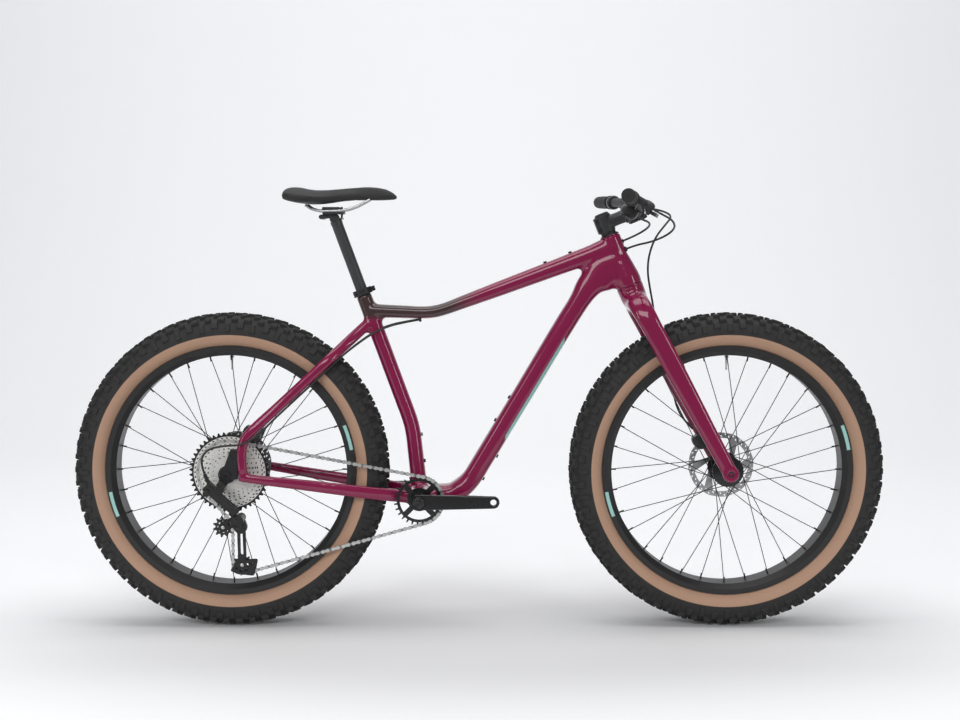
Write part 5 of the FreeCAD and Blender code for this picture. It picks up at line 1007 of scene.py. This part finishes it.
def grommet(name, place, heading):
    """A rubber ring at a point of the frame, facing out along its heading."""
    ring = lathed(name, GROMMET, ORIGIN, 28, closed=True)
    turn = Vector((0, 1, 0)).rotation_difference(Vector(heading))
    ring.data.transform(Matrix.Translation(Vector(place) * 0.001) @ turn.to_matrix().to_4x4())
    added(ring, port_rubber, "frame")


for number, (height, across) in enumerate(HEAD_PORTS):
    face = math.sqrt(HEAD_RADIUS ** 2 - across ** 2)
    outward = STEER_FORWARD * face + Vector((0, across, 0))
    grommet("head_port_%d" % number, on_steerer(height, face - 1, across), outward)
for side, name in ((-1, "right"), (1, "left")):
    grommet("top_port_" + name, (-141.5, side * 10, 735.6), (-0.97, 0, -0.22))


# Seat: an alloy post with a two-bolt head and bent steel rails that carry the shell.
# The shell's foam pad has a matt cover.

post_black = finish("post_black", (0.04, 0.04, 0.042), 0.25, 350, 0.3, 0.4, 0.04)
rail_steel = finish("rail_steel", (0.5, 0.5, 0.5), 0.15, 900, 0.22, 0.32, 0.04, metallic=1)
cover_black = finish("cover_black", (0.016, 0.016, 0.0165), 0.35, 900, 0.52, 0.68, 0.22)
dressed(post_black, "seatpost")
dressed(rail_steel, "saddle_rails")
CLAMP_PIECES = (("cradle", ((-366, 987.5, 3.5), (-322, 987.5, 3.5)), 50, 1.5),
                ("top", ((-367, 997.6, 3.6), (-331, 997.6, 3.6)), 50, 1.5),
                ("neck", ((-347, 983, 8), (-342.5, 974, 11.5)), 27, 3),
                ("ear", ((-374, 978, 5.5), (-354, 980, 5)), 24, 2))
CLAMP_BOLT = ((0, 0), (0, 4.4), (4, 4.4), (4, 2.5), (30, 2.5), (30, 0))
for part, circles, wide, ease in CLAMP_PIECES:
    piece = punched("saddle_clamp_" + part, [hull_of(*circles)], wide, ORIGIN, 0, ease=ease)
    added(piece, satin_black, "seat")
    if part == "cradle":
        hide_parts("saddle_clamp")
CLAMP_BOLT_LEVEL = 0.9715
for along in (-369, -325.5):
    bolt = lathed("clamp_bolt_%d" % -along, CLAMP_BOLT, ORIGIN, 20)
    bolt.data.transform(Matrix.Translation((along * 0.001, 0, CLAMP_BOLT_LEVEL)) @ UPRIGHT)
    added(bolt, bare_silver, "seat")


def swollen(pad, reach):
    """Let the foam press the cover out: a short cloth run under pressure, with a capped movement."""
    start = [corner.co.copy() for corner in pad.data.vertices]
    rule = pad.modifiers.new("cover", "CLOTH")
    foam = rule.settings
    foam.use_pressure = True
    foam.uniform_pressure_force = 4
    foam.effector_weights.gravity = 0
    foam.tension_stiffness = 60
    foam.bending_stiffness = 8
    rule.point_cache.frame_end = 20
    for step in range(1, 21):
        bpy.context.scene.frame_set(step)
    settled(pad)
    bpy.context.scene.frame_set(1)
    for corner, origin in zip(pad.data.vertices, start):
        push = corner.co - origin
        if push.length > reach:
            corner.co = origin + push.normalized() * reach


pad = moulded("saddle_pad", ["saddle"], 0.0042, 3, -0.0006)
NOSE_LEVEL = 1.0312
for corner in pad.data.vertices:
    share = min(1, max(0, (corner.co.x + 0.36) / 0.1))
    corner.co.z = NOSE_LEVEL + (corner.co.z - NOSE_LEVEL) * (1 + 0.22 * share)
swollen(pad, 0.003)
ease = pad.modifiers.new("ease", "SMOOTH")
ease.iterations = 3
finer = pad.modifiers.new("finer", "SUBSURF")
finer.levels = 1
finer.render_levels = 1
settled(pad)
for face in pad.data.polygons:
    face.use_smooth = True
fitted(pad, cover_black, "saddle_cover", "saddle")


# Studio: a pale seamless sweep under soft light from above, the front and both ends, with a painted shadow
# band on the floor under the bike.
# The camera looks straight at the right side.

PAPER_FRONT = -1.7
PAPER_BEND = 2.6
BEND_RADIUS = 2.4
PAPER_TOP = 9
PAPER_HALF_WIDTH = 9


def sweep():
    """Paper that lies flat under the wheels and bends up behind them."""
    shape = bmesh.new()
    line = [(PAPER_FRONT, 0), (PAPER_BEND, 0)]
    for step in range(1, 13):
        turn = math.radians(step * 90 / 12)
        line.append((PAPER_BEND + BEND_RADIUS * math.sin(turn), BEND_RADIUS - BEND_RADIUS * math.cos(turn)))
    line.append((PAPER_BEND + BEND_RADIUS, PAPER_TOP))
    sides = (-PAPER_HALF_WIDTH, PAPER_HALF_WIDTH)
    rows = [[shape.verts.new((side, back, height)) for side in sides] for back, height in line]
    for here, there in zip(rows, rows[1:]):
        shape.faces.new((here[0], here[1], there[1], there[0])).smooth = True
    return piece_of("studio_sweep", shape)


floor = sweep()
PAPER_LIFT = 0.26


def studio_paper():
    """Matt white paper, a little brighter to the eye and in reflections than it lights the bike; the
    brightening fades out round the bike's footprint, which leaves a painted shadow band under it.
    """
    material = finish("studio_paper", (0.83, 0.835, 0.845), 0.01, 3, 0.85, 0.9, 0)
    tree = material.node_tree
    shader = tree.nodes["Principled BSDF"].inputs
    ray = wired(tree, "ShaderNodeLightPath", {})
    seen = ray["Is Camera Ray"]
    for kind in ("Is Glossy Ray", "Is Transmission Ray"):
        seen = maths(tree, "MAXIMUM", seen, ray[kind])
    spot = wired(tree, "ShaderNodeTexCoord", {})["Object"]
    # Painted shadow: the paper's glow is taken away round a point just under the bike, so the floor there
    # stays darker, like a soft shadow band.
    off_painted_shadow_centre = maths(tree, "MULTIPLY_ADD", spot, (0.5, 1, 1), (0, 0.12, 0), kind="VectorMath")
    clear = ramp_between(tree, maths(tree, "LENGTH", off_painted_shadow_centre, kind="VectorMath"), 0.22, 0.85)
    lift_round_painted_shadow = maths(tree, "MULTIPLY", maths(tree, "MULTIPLY", seen, clear), PAPER_LIFT)
    shader["Emission Color"].default_value = (0.96, 0.965, 1, 1)
    tree.links.new(lift_round_painted_shadow, shader["Emission Strength"])
    return material


floor.data.materials.append(studio_paper())


def lamp(name, place, aim, size, power):
    """A rectangular soft light that faces its aim."""
    light = bpy.data.lights.new(name, "AREA")
    light.shape = "RECTANGLE"
    light.size = size[0]
    light.size_y = size[1]
    light.energy = power
    holder = new_piece(name, light)
    holder.location = place
    holder.rotation_euler = (Vector(aim) - Vector(place)).to_track_quat("-Z", "Y").to_euler()


lamp("top_light", (0, -0.3, 4.2), (0, 0, 0.4), (4.5, 2), 84)
lamp("front_light", (-1, -4.4, 3), (0, 0, 0.5), (3.4, 1.6), 74)
lamp("left_strip", (-3, -2.6, 1.2), (0, 0, 0.6), (0.5, 2), 20)
lamp("right_strip", (3, -2.6, 1.2), (0, 0, 0.6), (0.5, 2), 20)
lamp("back_light", (0, 2.2, 4.4), (0, 4, 1.5), (6, 1.6), 60)
world = bpy.data.worlds.new("studio_air")
bpy.context.scene.world = world
world.use_nodes = True
air = world.node_tree.nodes["Background"].inputs
air["Color"].default_value = (0.93, 0.94, 0.96, 1)
air["Strength"].default_value = 0.21
CAMERA_DIP = 4.85
camera = bpy.data.cameras.new("photo_camera")
camera.lens = 56.6
camera.sensor_width = 36
viewer = new_piece("photo_camera", camera)
viewer.location = (0.0019, -3.594, 0.9426)
viewer.rotation_euler = (math.radians(90 - CAMERA_DIP), 0, 0)
bpy.context.scene.camera = viewer
bpy.context.scene.view_settings.view_transform = "Standard"
